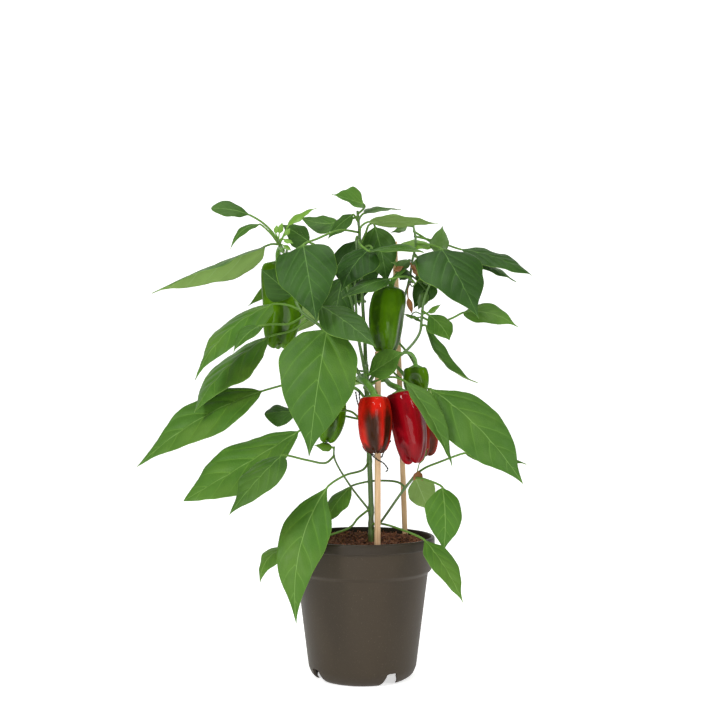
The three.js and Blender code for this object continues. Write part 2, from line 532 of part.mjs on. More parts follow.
// The limbs with their young leaves and the stalks and caps of the peppers.
function dressedStemSolid() {
  let stem = stemSolid();
  for (const leaf of YOUNG_LEAVES) stem = stem.add(solidOf(leafGeometry(leaf, YOUNG_STATIONS)));
  for (const pepper of PEPPERS) stem = stem.add(fruitStalkSolid(pepper));
  return stem;
}

// ---------------------------------------------------------------- pot

// Half of the pot's section, as [radius, height], from the axis under the
// floor, up the outside, over the lip and down the inside.
function potProfile() {
  const { height, wall, lipRadius, lipHeight, collarTopRadius, collarBottomRadius, collarBottom, step,
    bodyTopRadius, bodyBottomRadius, cornerHeight, footRadius, skirt, floorUnderside, floorCorner,
    centreFoot } = POT;
  const lipBottom = height - lipHeight;
  const bend = 0.6 * (bodyBottomRadius - footRadius);
  const bendHeight = 0.3 * cornerHeight;
  const floorTop = floorUnderside + wall;
  return [
    [0, 0], [centreFoot[0], 0], [centreFoot[1], floorUnderside], [bodyBottomRadius - skirt, floorUnderside],
    [footRadius + bend - skirt, bendHeight + 1], [footRadius - skirt, 0], [footRadius, 0],
    [footRadius + bend, bendHeight], [bodyBottomRadius, cornerHeight],
    [bodyTopRadius, collarBottom - step], [collarBottomRadius, collarBottom],
    [collarTopRadius, lipBottom], [lipRadius - 0.8, lipBottom], [lipRadius, lipBottom + 1],
    [lipRadius, height - 1.5], [lipRadius - 1.5, height], [lipRadius - 4, height],
    [collarTopRadius - wall, height - 3], [collarBottomRadius - wall, collarBottom - 1],
    [bodyTopRadius - wall, collarBottom - step - 1], [bodyBottomRadius - wall, floorTop + floorCorner],
    [bodyBottomRadius - wall - floorCorner, floorTop], [0, floorTop],
  ];
}

function lathe(profile, segments) {
  const geometry = new THREE.LatheGeometry(profile.map(([r, z]) => new THREE.Vector2(r, z)), segments);
  return geometry.rotateX(Math.PI / 2);
}

// A drainage notch: a wedge with a rounded top that goes through the corner.
function notchGeometry(angle) {
  const { notchBaseWidth, notchTopWidth, notchHeight, footRadius } = POT;
  const shape = new THREE.Shape();
  shape.moveTo(-notchBaseWidth / 2, -2);
  shape.lineTo(notchBaseWidth / 2, -2);
  shape.lineTo(notchTopWidth / 2, notchHeight * 0.75);
  shape.quadraticCurveTo(notchTopWidth / 2 - 1, notchHeight, notchTopWidth / 2 - 5, notchHeight);
  shape.lineTo(-notchTopWidth / 2 + 5, notchHeight);
  shape.quadraticCurveTo(-notchTopWidth / 2 + 1, notchHeight, -notchTopWidth / 2, notchHeight * 0.75);
  shape.closePath();
  const geometry = new THREE.ExtrudeGeometry(shape, { depth: 20, bevelEnabled: false, curveSegments: 3 });
  geometry.translate(0, 0, footRadius - 8);
  geometry.rotateX(Math.PI / 2);
  return geometry.rotateZ(THREE.MathUtils.degToRad(angle));
}

function potGeometry() {
  let pot = solidOf(lathe(potProfile(), POT.segments));
  for (const angle of POT.notchAngles) pot = pot.subtract(solidOf(notchGeometry(angle)));
  return geometryOf(pot);
}

// ---------------------------------------------------------------- soil

// The soil fills the pot as a plug with a lumpy, heaped top.
function soilSolid() {
  const { edgeHeight, centreHeight, backRise, lump, clearance } = SOIL;
  const { wall, collarTopRadius, collarBottomRadius, collarBottom, step, bodyTopRadius, bodyBottomRadius,
    floorUnderside, floorCorner } = POT;
  const segments = POT.segments / 2;
  const inner = collarBottomRadius - wall - clearance;
  const foot = bodyBottomRadius - wall - clearance;
  const floorTop = floorUnderside + wall;
  const rings = [];
  const level = (radius, z) => {
    const ring = [];
    for (let j = 0; j < segments; j += 1) {
      const angle = (j / segments) * 2 * Math.PI;
      ring.push(new THREE.Vector3(radius * Math.sin(angle), radius * Math.cos(angle), z));
    }
    rings.push(ring);
  };
  level(foot - floorCorner, floorTop + GAP);
  level(foot, floorTop + floorCorner + 1);
  level(bodyTopRadius - wall - clearance, collarBottom - step - 1);
  level(inner, collarBottom);
  level(inner + (collarTopRadius - collarBottomRadius) * 0.6, edgeHeight);
  for (const [row, radius] of [72, 60, 47, 33, 18].entries()) {
    const ring = [];
    for (let j = 0; j < segments; j += 1) {
      const angle = (j / segments) * 2 * Math.PI;
      const y = radius * Math.cos(angle);
      const heap = centreHeight - (centreHeight - edgeHeight) * (radius / inner) ** 2
        + backRise * THREE.MathUtils.smoothstep(y, 0, 50);
      ring.push(new THREE.Vector3(radius * Math.sin(angle), y, heap + lump * draw(row * 31 + j)));
    }
    rings.push(ring);
  }
  return solidOf(loft(rings));
}

// ---------------------------------------------------------------- stakes and ties

// A square stick between two points, turned about its own length. clearance
// makes it wider, and longer at the foot.
function stakeGeometry({ foot, head, turn }, clearance = 0) {
  const width = STAKE_WIDTH + 2 * clearance;
  const along = vector(head).sub(vector(foot)).normalize();
  const bottom = vector(foot).addScaledVector(along, -clearance);
  const across = squareTo(new THREE.Vector3(Math.cos(turn), Math.sin(turn), 0), along);
  const other = along.clone().cross(across);
  const square = (point) => [[1, 1], [-1, 1], [-1, -1], [1, -1]].map(([u, v]) => point.clone()
    .addScaledVector(across, (u * width) / 2)
    .addScaledVector(other, (v * width) / 2));
  return loft([square(bottom), square(vector(head))]);
}

// ---------------------------------------------------------------- the plant

const plant = new THREE.Group();
plant.name = 'potted_bell_pepper_plant';

function addPiece(name, geometry, finish) {
  const [color, roughness] = FINISH[finish];
  geometry.computeVertexNormals();
  const mesh = new THREE.Mesh(geometry, new THREE.MeshStandardMaterial({ color, roughness, metalness: 0 }));
  mesh.name = name;
  plant.add(mesh);
}

const roomyStem = stemSolid(GAP);

addPiece('pot', potGeometry(), 'pot');

let soil = soilSolid().subtract(roomyStem);
for (const stake of STAKES) {
  soil = soil.subtract(solidOf(stakeGeometry(stake, GAP)));
  addPiece(stake.name, stakeGeometry(stake), 'wood');
}
addPiece('soil', geometryOf(soil), 'soil');

for (const { name, way } of TIES) {
  addPiece(name, rod(way, [WIRE_RADIUS, WIRE_RADIUS], { sides: 5, stations: way.length * 2 - 3 }), 'wire');
}

addPiece('stem', geometryOf(dressedStemSolid()), 'stem');

for (const pepper of PEPPERS) addPiece(pepper.name, pepperGeometry(pepper), pepper.finish);

for (const leaf of LEAVES) {
  addPiece(leaf.name, geometryOf(solidOf(leafGeometry(leaf)).subtract(roomyStem)), 'leaf');
}

export default plant;
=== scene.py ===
# %% [markdown]
# # A bell pepper plant in its nursery pot
#
# This file dresses a finished, measured model of a potted plant. The model
# gives the place and the size of every piece. Here each piece is made again
# as a fine surface, and gets a material that is painted by nodes.
#
# Everything that grows follows a curve and changes its section on the way, so
# nearly all pieces are one idea: a row of rings, joined into a closed skin.
# The rings are worked out by formulas over whole arrays, which keeps a leaf
# with thousands of points as short to write as one with ten.

from math import cos, radians, sin

import bpy
import numpy as np
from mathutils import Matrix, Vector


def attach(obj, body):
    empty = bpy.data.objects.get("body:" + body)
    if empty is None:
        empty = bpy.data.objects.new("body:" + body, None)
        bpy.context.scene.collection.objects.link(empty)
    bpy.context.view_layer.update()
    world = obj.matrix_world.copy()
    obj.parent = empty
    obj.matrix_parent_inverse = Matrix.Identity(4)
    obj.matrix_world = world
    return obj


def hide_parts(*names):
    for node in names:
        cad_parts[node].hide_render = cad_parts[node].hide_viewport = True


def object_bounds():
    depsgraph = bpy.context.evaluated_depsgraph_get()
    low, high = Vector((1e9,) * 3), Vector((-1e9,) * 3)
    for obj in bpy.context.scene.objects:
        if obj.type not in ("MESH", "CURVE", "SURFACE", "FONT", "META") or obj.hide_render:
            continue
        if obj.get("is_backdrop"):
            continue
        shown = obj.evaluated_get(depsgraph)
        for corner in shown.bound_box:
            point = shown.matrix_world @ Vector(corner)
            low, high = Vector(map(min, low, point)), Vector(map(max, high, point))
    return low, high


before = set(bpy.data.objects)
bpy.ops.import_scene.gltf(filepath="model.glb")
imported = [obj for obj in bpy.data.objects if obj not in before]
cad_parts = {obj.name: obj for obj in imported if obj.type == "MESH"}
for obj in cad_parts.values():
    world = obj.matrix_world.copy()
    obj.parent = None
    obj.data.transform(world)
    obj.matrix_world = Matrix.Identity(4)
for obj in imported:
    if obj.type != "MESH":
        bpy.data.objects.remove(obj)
cad_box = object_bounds()
MM = 0.001
TURN = 2 * np.pi
print("pieces in the measured model:", len(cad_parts))

# %% [markdown]
# ## The camera
#
# The camera comes first, because every later choice is judged through it. It
# stands 1.2 m in front of the pot at a little over half the plant's height
# and looks up by two degrees, which leaves more room above the plant than
# below it. The lens is a normal one, so the pot's rim shows as a thin ellipse
# and the leaves that lean forward look a bit larger.

# %% The camera
CAMERA_PLACE = (0, -1.2, 0.317)
CAMERA_PITCH = 2.3
LENS = 50.38
LENS_SHIFT = -0.0006
SENSOR_WIDTH = 36

scene = bpy.context.scene
camera_data = bpy.data.cameras.new("camera")
camera_data.lens = LENS
camera_data.sensor_width = SENSOR_WIDTH
camera_data.shift_x = LENS_SHIFT
camera = bpy.data.objects.new("camera", camera_data)
camera.location = CAMERA_PLACE
camera.rotation_euler = (radians(90 + CAMERA_PITCH), 0, 0)
scene.collection.objects.link(camera)
scene.camera = camera
print("camera at", CAMERA_PLACE, "with a lens of", LENS, "mm")

# %% [markdown]
# ## The paper roll
#
# The plant stands on a plain white floor that bends up into a white wall a
# long way behind it, as a paper roll does in a studio. It is one profile,
# drawn out to both sides: flat, a quarter of a circle, and straight up.

# %% The paper roll
ROLL_HALF_WIDTH = 3.0
BEND_START = 1.6
BEND_RADIUS = 1.2
ROLL_TOP = 3.5


def paper_roll():
    """Each row of the sheet has a run and a rise: in the bend, start + radius·sin a and radius·(1 − cos
    a)."""
    bend = np.linspace(0.1, np.pi / 2, 16)
    flat = np.linspace(-ROLL_HALF_WIDTH, BEND_START, 4)
    run = np.concatenate([flat, BEND_START + BEND_RADIUS * np.sin(bend)])
    rise = np.concatenate([np.zeros(4), BEND_RADIUS * (1 - np.cos(bend))])
    run, rise = np.append(run, run[-1]), np.append(rise, ROLL_TOP)
    side = np.array([-ROLL_HALF_WIDTH, ROLL_HALF_WIDTH])
    points = np.stack(np.broadcast_arrays(side, run[:, None], rise[:, None]), -1)
    faces = np.arange(len(run) - 1)[:, None] * 2 + np.array([[0, 1, 3, 2]])
    mesh = bpy.data.meshes.new("floor")
    mesh.from_pydata(points.reshape(-1, 3).tolist(), [], faces.tolist())
    mesh.polygons.foreach_set("use_smooth", np.ones(len(faces), bool))
    return bpy.data.objects.new("floor", mesh)


floor = paper_roll()
scene.collection.objects.link(floor)
floor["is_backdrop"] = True
print("faces of the paper roll:", len(floor.data.polygons))

# %% [markdown]
# ## The lamps
#
# Four soft lamps light the plant: from the left, the right, low in front and
# above. The wide ones in front and above soften the shadows between the
# leaves. The two at the sides are smaller, and show as bright windows on the
# glossy skin of the peppers. The world adds an even white light, which keeps
# the inside of the foliage from going black.

# %% The lamps
# name: place, point it looks at, width, height, power in watts
LAMPS = {
    "lamp_left": ((-0.85, -1.1, 1.15), (0, 0, 0.36), 0.32, 0.45, 14),
    "lamp_right": ((1.1, -0.9, 0.95), (0, 0, 0.34), 0.25, 0.5, 8),
    "lamp_front": ((-0.2, -1.7, 0.1), (0, 0, 0.3), 1.2, 0.6, 9),
    "lamp_top": ((0.1, -0.25, 1.6), (0, 0, 0.3), 0.8, 0.8, 8),
}
WORLD_LIGHT = 0.24

for name, (place, aim, width, height, power) in LAMPS.items():
    light = bpy.data.lights.new(name, "AREA")
    light.shape = "RECTANGLE"
    light.size, light.size_y = width, height
    light.energy = power
    lamp = bpy.data.objects.new(name, light)
    lamp.location = place
    lamp.rotation_euler = (Vector(aim) - Vector(place)).to_track_quat("-Z", "Y").to_euler()
    scene.collection.objects.link(lamp)

scene.world = bpy.data.worlds.new("studio")
scene.world.use_nodes = True
background = scene.world.node_tree.nodes["Background"]
background.inputs["Color"].default_value = (1, 1, 1, 1)
background.inputs["Strength"].default_value = WORLD_LIGHT
scene.view_settings.view_transform = "Standard"
print("lamps:", list(LAMPS))

# %% [markdown]
# ## Curves and frames
#
# A leaf stalk, a branch and a wire are all given by a few points.
# A Catmull-Rom spline runs through every point it is given, which makes such
# a table easy to read and to change: a point in the table is a point on the
# branch. A Bezier curve would need handles as well.
#
# A ring needs two directions across the path. They are carried from one
# station to the next and only tilted back square to the path, so the skin
# doesn't twist. This takes a loop over the stations of the path, but none
# over the points of the mesh.


# %% Curves and frames
def unit(vectors):
    """Each vector at length one."""
    return vectors / np.linalg.norm(vectors, axis=-1, keepdims=True)


def square_to(direction, along):
    """The part of a direction that is square to another: direction − along·(direction·along), at length
    one."""
    return unit(direction - along * np.sum(direction * along, -1, keepdims=True))


def smooth_way(points, t):
    """Points at the shares t of a centripetal Catmull-Rom spline. Between two points it is the cubic
    whose slope at each end weighs the steps to both neighbours by the root of their lengths."""
    p = np.asarray(points, float)
    p = np.vstack([2 * p[0] - p[1], p, 2 * p[-1] - p[-2]])
    place = np.clip(np.asarray(t, float) * (len(points) - 1), 0, len(points) - 1 - 1e-9)
    i = place.astype(int)
    w = (place - i)[:, None]
    p0, p1, p2, p3 = p[i], p[i + 1], p[i + 2], p[i + 3]
    steps = (p1 - p0, p2 - p1, p3 - p2)
    d0, d1, d2 = (np.linalg.norm(step, axis=1, keepdims=True) ** 0.5 for step in steps)
    m1 = ((p1 - p0) / d0 - (p2 - p0) / (d0 + d1) + (p2 - p1) / d1) * d1
    m2 = ((p2 - p1) / d1 - (p3 - p1) / (d1 + d2) + (p3 - p2) / d2) * d1
    return p1 + m1 * w + (3 * (p2 - p1) - 2 * m1 - m2) * w**2 + (2 * (p1 - p2) + m1 + m2) * w**3


def run_along(way):
    """The length of a broken line up to each of its points."""
    way = np.asarray(way, float)
    return np.concatenate([[0], np.cumsum(np.linalg.norm(np.diff(way, axis=0), axis=1))])


def even_way(points, count):
    """The same spline at count stations that lie the same length apart."""
    t = np.linspace(0, 1, 12 * len(points))
    run = run_along(smooth_way(points, t))
    return smooth_way(points, np.interp(np.linspace(0, run[-1], count), run, t))


def frames(centres, first=(0.3, 1, 0.2)):
    """Along, across and up at every station. Each across is the last one, made square to the path."""
    along = unit(np.gradient(centres, axis=0))
    across = np.empty_like(along)
    across[0] = square_to(np.asarray(first, float), along[0])
    for i in range(1, len(along)):
        across[i] = square_to(across[i - 1], along[i])
    return along, across, np.cross(along, across)


def smooth_step(x, low, high):
    """0 below low, 1 above high, and 3s² − 2s³ between them."""
    s = np.clip((x - low) / (high - low), 0, 1)
    return s * s * (3 - 2 * s)


print("length of a test way, in mm:", round(run_along(even_way([(0, 0, 0), (3, 4, 0)], 5))[-1], 3))

# %% [markdown]
# ## Skins
#
# A skin is a grid of points that is closed round its columns and gets a fan
# of triangles at each end. Besides its place, a point can carry marks, such
# as how far along the leaf it is. The materials read these marks, so that a
# vein follows the leaf it belongs to, however the leaf is bent. A texture in
# the room's own coordinates would cut straight through it.


# %% Skins
def side_by_side(*parts):
    """Numbers and arrays as the last axis of one array, each stretched to the shape of the largest."""
    return np.stack(np.broadcast_arrays(*parts), -1)


def placed(origin, *steps):
    """The origin plus, for each step, its direction times its length at every point of the grid."""
    return origin + sum(direction * length[..., None] for direction, length in steps)


def ring_rows(centres, across, up, x, y):
    """A row of rings along a path: centre + across·x + up·y."""
    return placed(centres[:, None], (across[:, None], x), (up[:, None], y))


def circle(count):
    """The angles of a ring's points."""
    return np.linspace(0, TURN, count, endpoint=False)


def skin(rings, **marks):
    """A closed skin over rings of points, an array of rows × columns × 3. It is turned so that its
    volume, the sum of a·(b×c) over its triangles, comes out positive, which makes its faces look
    outwards."""
    rows, columns, _ = rings.shape
    row = np.arange(rows - 1)[:, None] * columns
    column = np.arange(columns)
    nearby = (column + 1) % columns
    corners = (row + column, row + nearby, row + nearby + columns, row + column + columns)
    quads = side_by_side(*corners).reshape(-1, 4)
    last = (rows - 1) * columns
    start = side_by_side(rows * columns, nearby, column)
    end = side_by_side(rows * columns + 1, last + column, last + nearby)
    fans = np.concatenate([start, end])

    def with_ends(values):
        return np.concatenate([values.reshape(-1, 3), values[:1].mean(1), values[-1:].mean(1)])

    points = with_ends(rings)
    a, b, c = np.moveaxis(points[np.concatenate([quads[:, :3], quads[:, [0, 2, 3]], fans])], 1, 0)
    if np.sum(a * np.cross(b, c)) < 0:
        quads, fans = quads[:, ::-1], fans[:, ::-1]
    flat = {name: with_ends(np.broadcast_to(mark, rings.shape)) for name, mark in marks.items()}
    return {"points": points, "quads": quads, "fans": fans, "marks": flat}


def join(shells):
    """Several skins as one: their points in a row, and each skin's faces moved on by the points before
    it."""
    counts = [len(s["points"]) for s in shells]
    steps = np.cumsum([0] + counts[:-1])
    joined = {"points": np.concatenate([s["points"] for s in shells]), "marks": {}}
    for kind in ("quads", "fans"):
        joined[kind] = np.concatenate([s[kind] + step for s, step in zip(shells, steps)])
    for name in sorted({name for s in shells for name in s["marks"]}):
        parts = [s["marks"].get(name, np.zeros((count, 3))) for s, count in zip(shells, counts)]
        joined["marks"][name] = np.concatenate(parts)
    return joined


prism = skin(side_by_side(np.cos(circle(6)), np.sin(circle(6)), np.array([[0], [1]])))
print("a test prism of six sides:", len(prism["quads"]), "quads and", len(prism["fans"]), "triangles")

# %% [markdown]
# ## Pieces
#
# `foreach_set` hands a whole array to Blender at once, which is far quicker
# than adding points one by one. A mesh keeps its faces as one long row of
# corners, with the place where each face starts in it. Each finished piece
# takes the place of the measured one, and stays at the origin: its place is
# in its points.

# %% Pieces
triangle_count = {}


def make_mesh(name, shell):
    """A Blender mesh from a skin. Points come in millimetres and go out in metres."""
    mesh = bpy.data.meshes.new(name)
    corners = np.concatenate([shell["quads"].ravel(), shell["fans"].ravel()])
    sizes = np.repeat([4, 3], [len(shell["quads"]), len(shell["fans"])])
    mesh.vertices.add(len(shell["points"]))
    mesh.vertices.foreach_set("co", (shell["points"] * MM).astype(np.float32).ravel())
    mesh.loops.add(len(corners))
    mesh.loops.foreach_set("vertex_index", corners.astype(np.int32))
    mesh.polygons.add(len(sizes))
    mesh.polygons.foreach_set("loop_start", (np.cumsum(sizes) - sizes).astype(np.int32))
    mesh.polygons.foreach_set("use_smooth", np.ones(len(sizes), bool))
    mesh.update(calc_edges=True)
    for key, values in shell["marks"].items():
        mark = mesh.attributes.new(key, "FLOAT_VECTOR", "POINT")
        mark.data.foreach_set("vector", values.astype(np.float32).ravel())
    return mesh


def add_piece(node, shape, material):
    """Puts a skin or a mesh into the scene as a piece of the plant, in place of the measured piece of
    that name."""
    mesh = shape if isinstance(shape, bpy.types.Mesh) else make_mesh(node + "_fine", shape)
    piece = bpy.data.objects.new(node + "_fine", mesh)
    scene.collection.objects.link(piece)
    mesh.materials.append(material)
    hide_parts(node)
    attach(piece, "root")
    triangle_count[node] = sum(len(p.vertices) - 2 for p in mesh.polygons)
    return piece


prism_mesh = make_mesh("prism", prism)
print("points of the test prism in Blender:", len(prism_mesh.vertices))
bpy.data.meshes.remove(prism_mesh)

# %% [markdown]
# ## Painting with nodes
#
# A material is a small graph. These helpers let each graph read like a list
# of steps: split a mark into its numbers, make a noise, turn a number into a
# soft edge, mix two colours by it. Colours are written as hex values, the way
# they look on a screen, and are turned into linear light here.


# %% Painting with nodes
def colour(hex_value):
    """A screen colour as linear light: (c + 0.055)/1.055 to the power 2.4, or c/12.92 for the darkest."""
    c = np.array([(hex_value >> 16) & 255, (hex_value >> 8) & 255, hex_value & 255]) / 255
    linear = np.where(c > 0.04045, ((c + 0.055) / 1.055) ** 2.4, c / 12.92)
    return (*linear.tolist(), 1.0)


def feed(tree, socket, value):
    """Gives a socket its value: another node's output, a hex colour, or a plain number."""
    if isinstance(value, bpy.types.NodeSocket):
        tree.links.new(value, socket)
    else:
        socket.default_value = colour(value) if socket.type == "RGBA" else value


def add(tree, kind, inputs=None, **settings):
    """Adds a node with these settings and inputs."""
    node = tree.nodes.new(kind)
    for key, value in settings.items():
        setattr(node, key, value)
    for key, value in (inputs or {}).items():
        feed(tree, node.inputs[key], value)
    return node


def new_material(name, **values):
    """A material and its node tree. The values are its shader's own, set by name."""
    material = bpy.data.materials.new(name)
    material.use_nodes = True
    shade(material.node_tree, **values)
    return material, material.node_tree


def shade(tree, **values):
    """Gives sockets of the shader their values. A name's spaces are written as underscores."""
    shader = tree.nodes["Principled BSDF"]
    for key, value in values.items():
        feed(tree, shader.inputs[key.replace("_", " ")], value)


def finish(material, base, height=None, distance=0.0, strength=1.0):
    """Feeds the colour into the shader, and a height as a bump whose depth is the distance in metres."""
    tree = material.node_tree
    shade(tree, Base_Color=base)
    if height is not None:
        bump = add(tree, "ShaderNodeBump", {"Height": height, "Distance": distance, "Strength": strength})
        shade(tree, Normal=bump.outputs[0])
    return material


def calc(tree, operation, *values):
    """One step of arithmetic."""
    return add(tree, "ShaderNodeMath", dict(enumerate(values)), operation=operation).outputs[0]


def scaled(tree, value, factor, offset=0.0):
    """value·factor + offset."""
    return calc(tree, "MULTIPLY_ADD", value, factor, offset)


def soft_edge(tree, value, low, high):
    """0 below low and 1 above high, or the other way round when low is the larger."""
    inputs = {"Value": value, "From Min": low, "From Max": high}
    return add(tree, "ShaderNodeMapRange", inputs, interpolation_type="SMOOTHSTEP").outputs[0]


def blend(tree, share, first, second, strength=1.0):
    """The first colour where share is 0 and the second where it is 1, or as much of it as the strength
    says."""
    share = share if strength == 1 else calc(tree, "MULTIPLY", share, strength)
    # A Mix node has sockets for numbers, vectors and colours. The colours go into 6 and 7 and come out of 2.
    return add(tree, "ShaderNodeMix", {0: share, 6: first, 7: second}, data_type="RGBA").outputs[2]


def object_place(tree):
    """Where a point is, in metres, in the plant's own frame."""
    return add(tree, "ShaderNodeTexCoord").outputs["Object"]


def noise(tree, scale, detail=3.0, roughness=0.55, stretch=None):
    """Cloudy noise round 0.5. A stretch below 1 draws the clouds out in that direction."""
    where = object_place(tree)
    if stretch is not None:
        where = add(tree, "ShaderNodeMapping", {"Vector": where, "Scale": stretch}).outputs[0]
    inputs = {"Vector": where, "Scale": scale, "Detail": detail, "Roughness": roughness}
    return add(tree, "ShaderNodeTexNoise", inputs).outputs[0]


def three_of(tree, vector):
    """The three numbers of a vector."""
    return add(tree, "ShaderNodeSeparateXYZ", {0: vector}).outputs[:3]


def mark(tree, name):
    """The three numbers of a mark that the mesh carries."""
    return three_of(tree, add(tree, "ShaderNodeAttribute", attribute_name=name).outputs["Vector"])


PAPER_GLOW = 0.62

paper, tree = new_material("white_paper", Roughness=0.9, Emission_Color=0xFFFFFF)
shade(tree, Emission_Strength=PAPER_GLOW)
floor.data.materials.append(finish(paper, blend(tree, noise(tree, 6), 0xF7F7F6, 0xFBFBFB)))
print("nodes of the white paper:", len(tree.nodes))

# %% [markdown]
# ## The table of branches
#
# Each branch is a row of points in millimetres, and its radius at the start
# and the end. The main stem comes out of the potting mix a little right of
# the middle, forks a little below half its height, and forks again at once.

# %% The table of branches
# way, radius at the start, radius at the end
LIMBS = [
    ([(11, 0, 112), (10, 0, 161), (10, 0, 194), (9, 0, 226), (8, 0, 251), (7, 2, 297), (5, 4, 334),
      (4, 5, 362)], 3.3, 2.7),
    ([(5, 4, 336), (-21, -6, 377), (-49, -20, 406), (-72, -30, 424), (-82, -30, 453), (-90, -28, 486),
      (-99, -24, 508)], 2.3, 1.3),
    ([(4, 5, 354), (3, 10, 386), (0, 12, 440), (-2, 8, 485), (-4, 0, 523), (-6, -4, 545)], 2.4, 1.3),
    ([(4, 4, 348), (-6, 12, 398), (-14, 16, 441), (-29, 10, 478), (-48, 4, 499), (-60, 2, 507)], 1.7,
      1.2),
    ([(4, 4, 352), (-5, -4, 397), (-8, -8, 438), (-9, 4, 469), (-7, 24, 495), (-8, 40, 517)], 1.7, 1.2),
    ([(5, 4, 336), (19, 18, 361), (36, 30, 399), (48, 32, 436), (57, 26, 466), (60, 18, 487),
      (64, 10, 509), (61, 8, 530)], 2.3, 1.2),
    ([(4, 4, 348), (27, -4, 364), (48, -8, 375), (67, -8, 398), (70, -8, 417), (72, -6, 434),
      (78, -4, 453), (88, -6, 476), (91, -8, 492)], 1.9, 1.1),
    ([(10, 0, 188), (-16, -6, 222), (-33, -12, 253), (-33, -12, 266)], 1.3, 1),
    ([(10, 0, 162), (22, -6, 178), (50, -12, 218), (64, -16, 235)], 1.4, 1.6),
]
print("branches:", len(LIMBS))

# %% [markdown]
# ## The leaf blade
#
# A pepper leaf is a pointed oval with a drawn-out drip tip. Its half width
# is a formula with one main number, the share of the length at which it is
# widest. The blade isn't flat: the rib arches, the two halves stand up from
# it or droop, the margin waves, and the skin is pressed in along every side
# vein and puffs up between them. That quilting is what makes a leaf read as
# a leaf in soft light, so it is real shape and not only a bump.
#
# Every point knows the number of its side vein: a whole number lies on a
# vein. The mesh is bent by this number and the material paints by the same
# one, so colour and crease meet.

# %% The leaf blade
VEIN_PAIRS = 5
VEIN_SLOPE = 1.25
VEIN_SWEEP = 0.22
TIP_PINCH = 0.33
PUCKER_LENGTHS = (9, 13, 17, 23, 30)


def outline(t, belly, shoulder, wedge):
    """Half width as a share of the widest: (t/b)^2b · ((1 − t)/(1 − b))^2(1 − b), which is 1 at t = b and
    0 at both ends. Before t = b it is raised to the power of the shoulder, where less than 1 makes a
    squarer base. It is pinched by a bell of height wedge at the base, and by a third towards the drip
    tip."""
    oval = (t / belly) ** (2 * belly) * ((1 - t) / (1 - belly)) ** (2 * (1 - belly))
    oval = oval ** np.where(t < belly, shoulder, 1)
    return oval * (1 - wedge * np.exp(-((t / 0.15) ** 2))) * (1 - TIP_PINCH * smooth_step(t, 0.7, 0.95))


def vein_number(t, v, out):
    """Side veins leave the rib at about forty degrees and bend on towards the tip: along − slope·out −
    sweep·|v|³·(1 − along), counted in spacings, where out is the distance from the rib over the leaf's
    length. The veins of the two halves leave the rib by turns."""
    swept = t - VEIN_SLOPE * out - VEIN_SWEEP * np.abs(v) ** 3 * (1 - t)
    return swept * VEIN_PAIRS - 0.12 + 0.14 * np.sign(v)


def quilting(t, v, number):
    """Height of the skin: down in a bell on each vein, up in a wide hump between two, fading at rim and
    tip."""
    away = np.abs((number + 0.5) % 1 - 0.5)
    crease = np.exp(-((away / 0.13) ** 2))
    hump = np.sin(np.pi * away) ** 2
    fade = smooth_step(number, -0.5, 0) * (1 - np.abs(v) ** 2.5) * smooth_step(t, 0, 0.12)
    return fade * smooth_step(1 - t, 0.05, 0.35) * (hump * 0.5 - crease * 0.6)


def puckers(x, y, draw):
    """Slow waves over the blade, one for each wave length: the sum of sin(k·(x·cos a + y·sin a) + p)."""
    height = 0
    for length in PUCKER_LENGTHS:
        a, p = draw.uniform(0, TURN, 2)
        wave = np.sin(TURN / length * (x * np.cos(a) + y * np.sin(a)) + p)
        height = height + wave * length / PUCKER_LENGTHS[-1]
    return height


shares = np.linspace(0.05, 0.95, 7)
print("half widths along a blade:", outline(shares, 0.35, 1, 0.25).round(2))

# %% [markdown]
# ## The path of a leaf
#
# A leaf hangs on its stalk, and stalk and blade are one skin. So the path
# runs from the branch along the stalk, and goes over into the rib without a
# corner. The blade's upper side looks where the table says. Along the stalk
# this direction is carried back to the branch, like the frames above.

# %% The path of a leaf
BLADE_END = 0.002
RIB_START = 0.05
STALK_STEP = 4
PLAIN_FORM = {"belly": 0.35, "shoulder": 1, "wedge": 0.25, "arch": 0, "bow": 0, "fold": 0, "wave": 0}


def leaf(stalk, tip, face, width, tint, **form):
    """A row of the tables: the way of the stalk, the tip, where the upper side looks, the width in
    millimetres, the tint from 0 for dark to 1 for fresh, and what is special about the form. Belly is the
    share of the length where the blade is widest, shoulder and wedge shape its base, arch and bow bend
    the rib up and sideways, fold is the angle by which the halves stand up, and wave the height of the
    waves along the rim."""
    way, tip, face = (np.array(value, float) for value in (stalk, tip, face))
    return {"stalk": way, "tip": tip, "face": face, "width": width, "tint": tint, **PLAIN_FORM, **form}


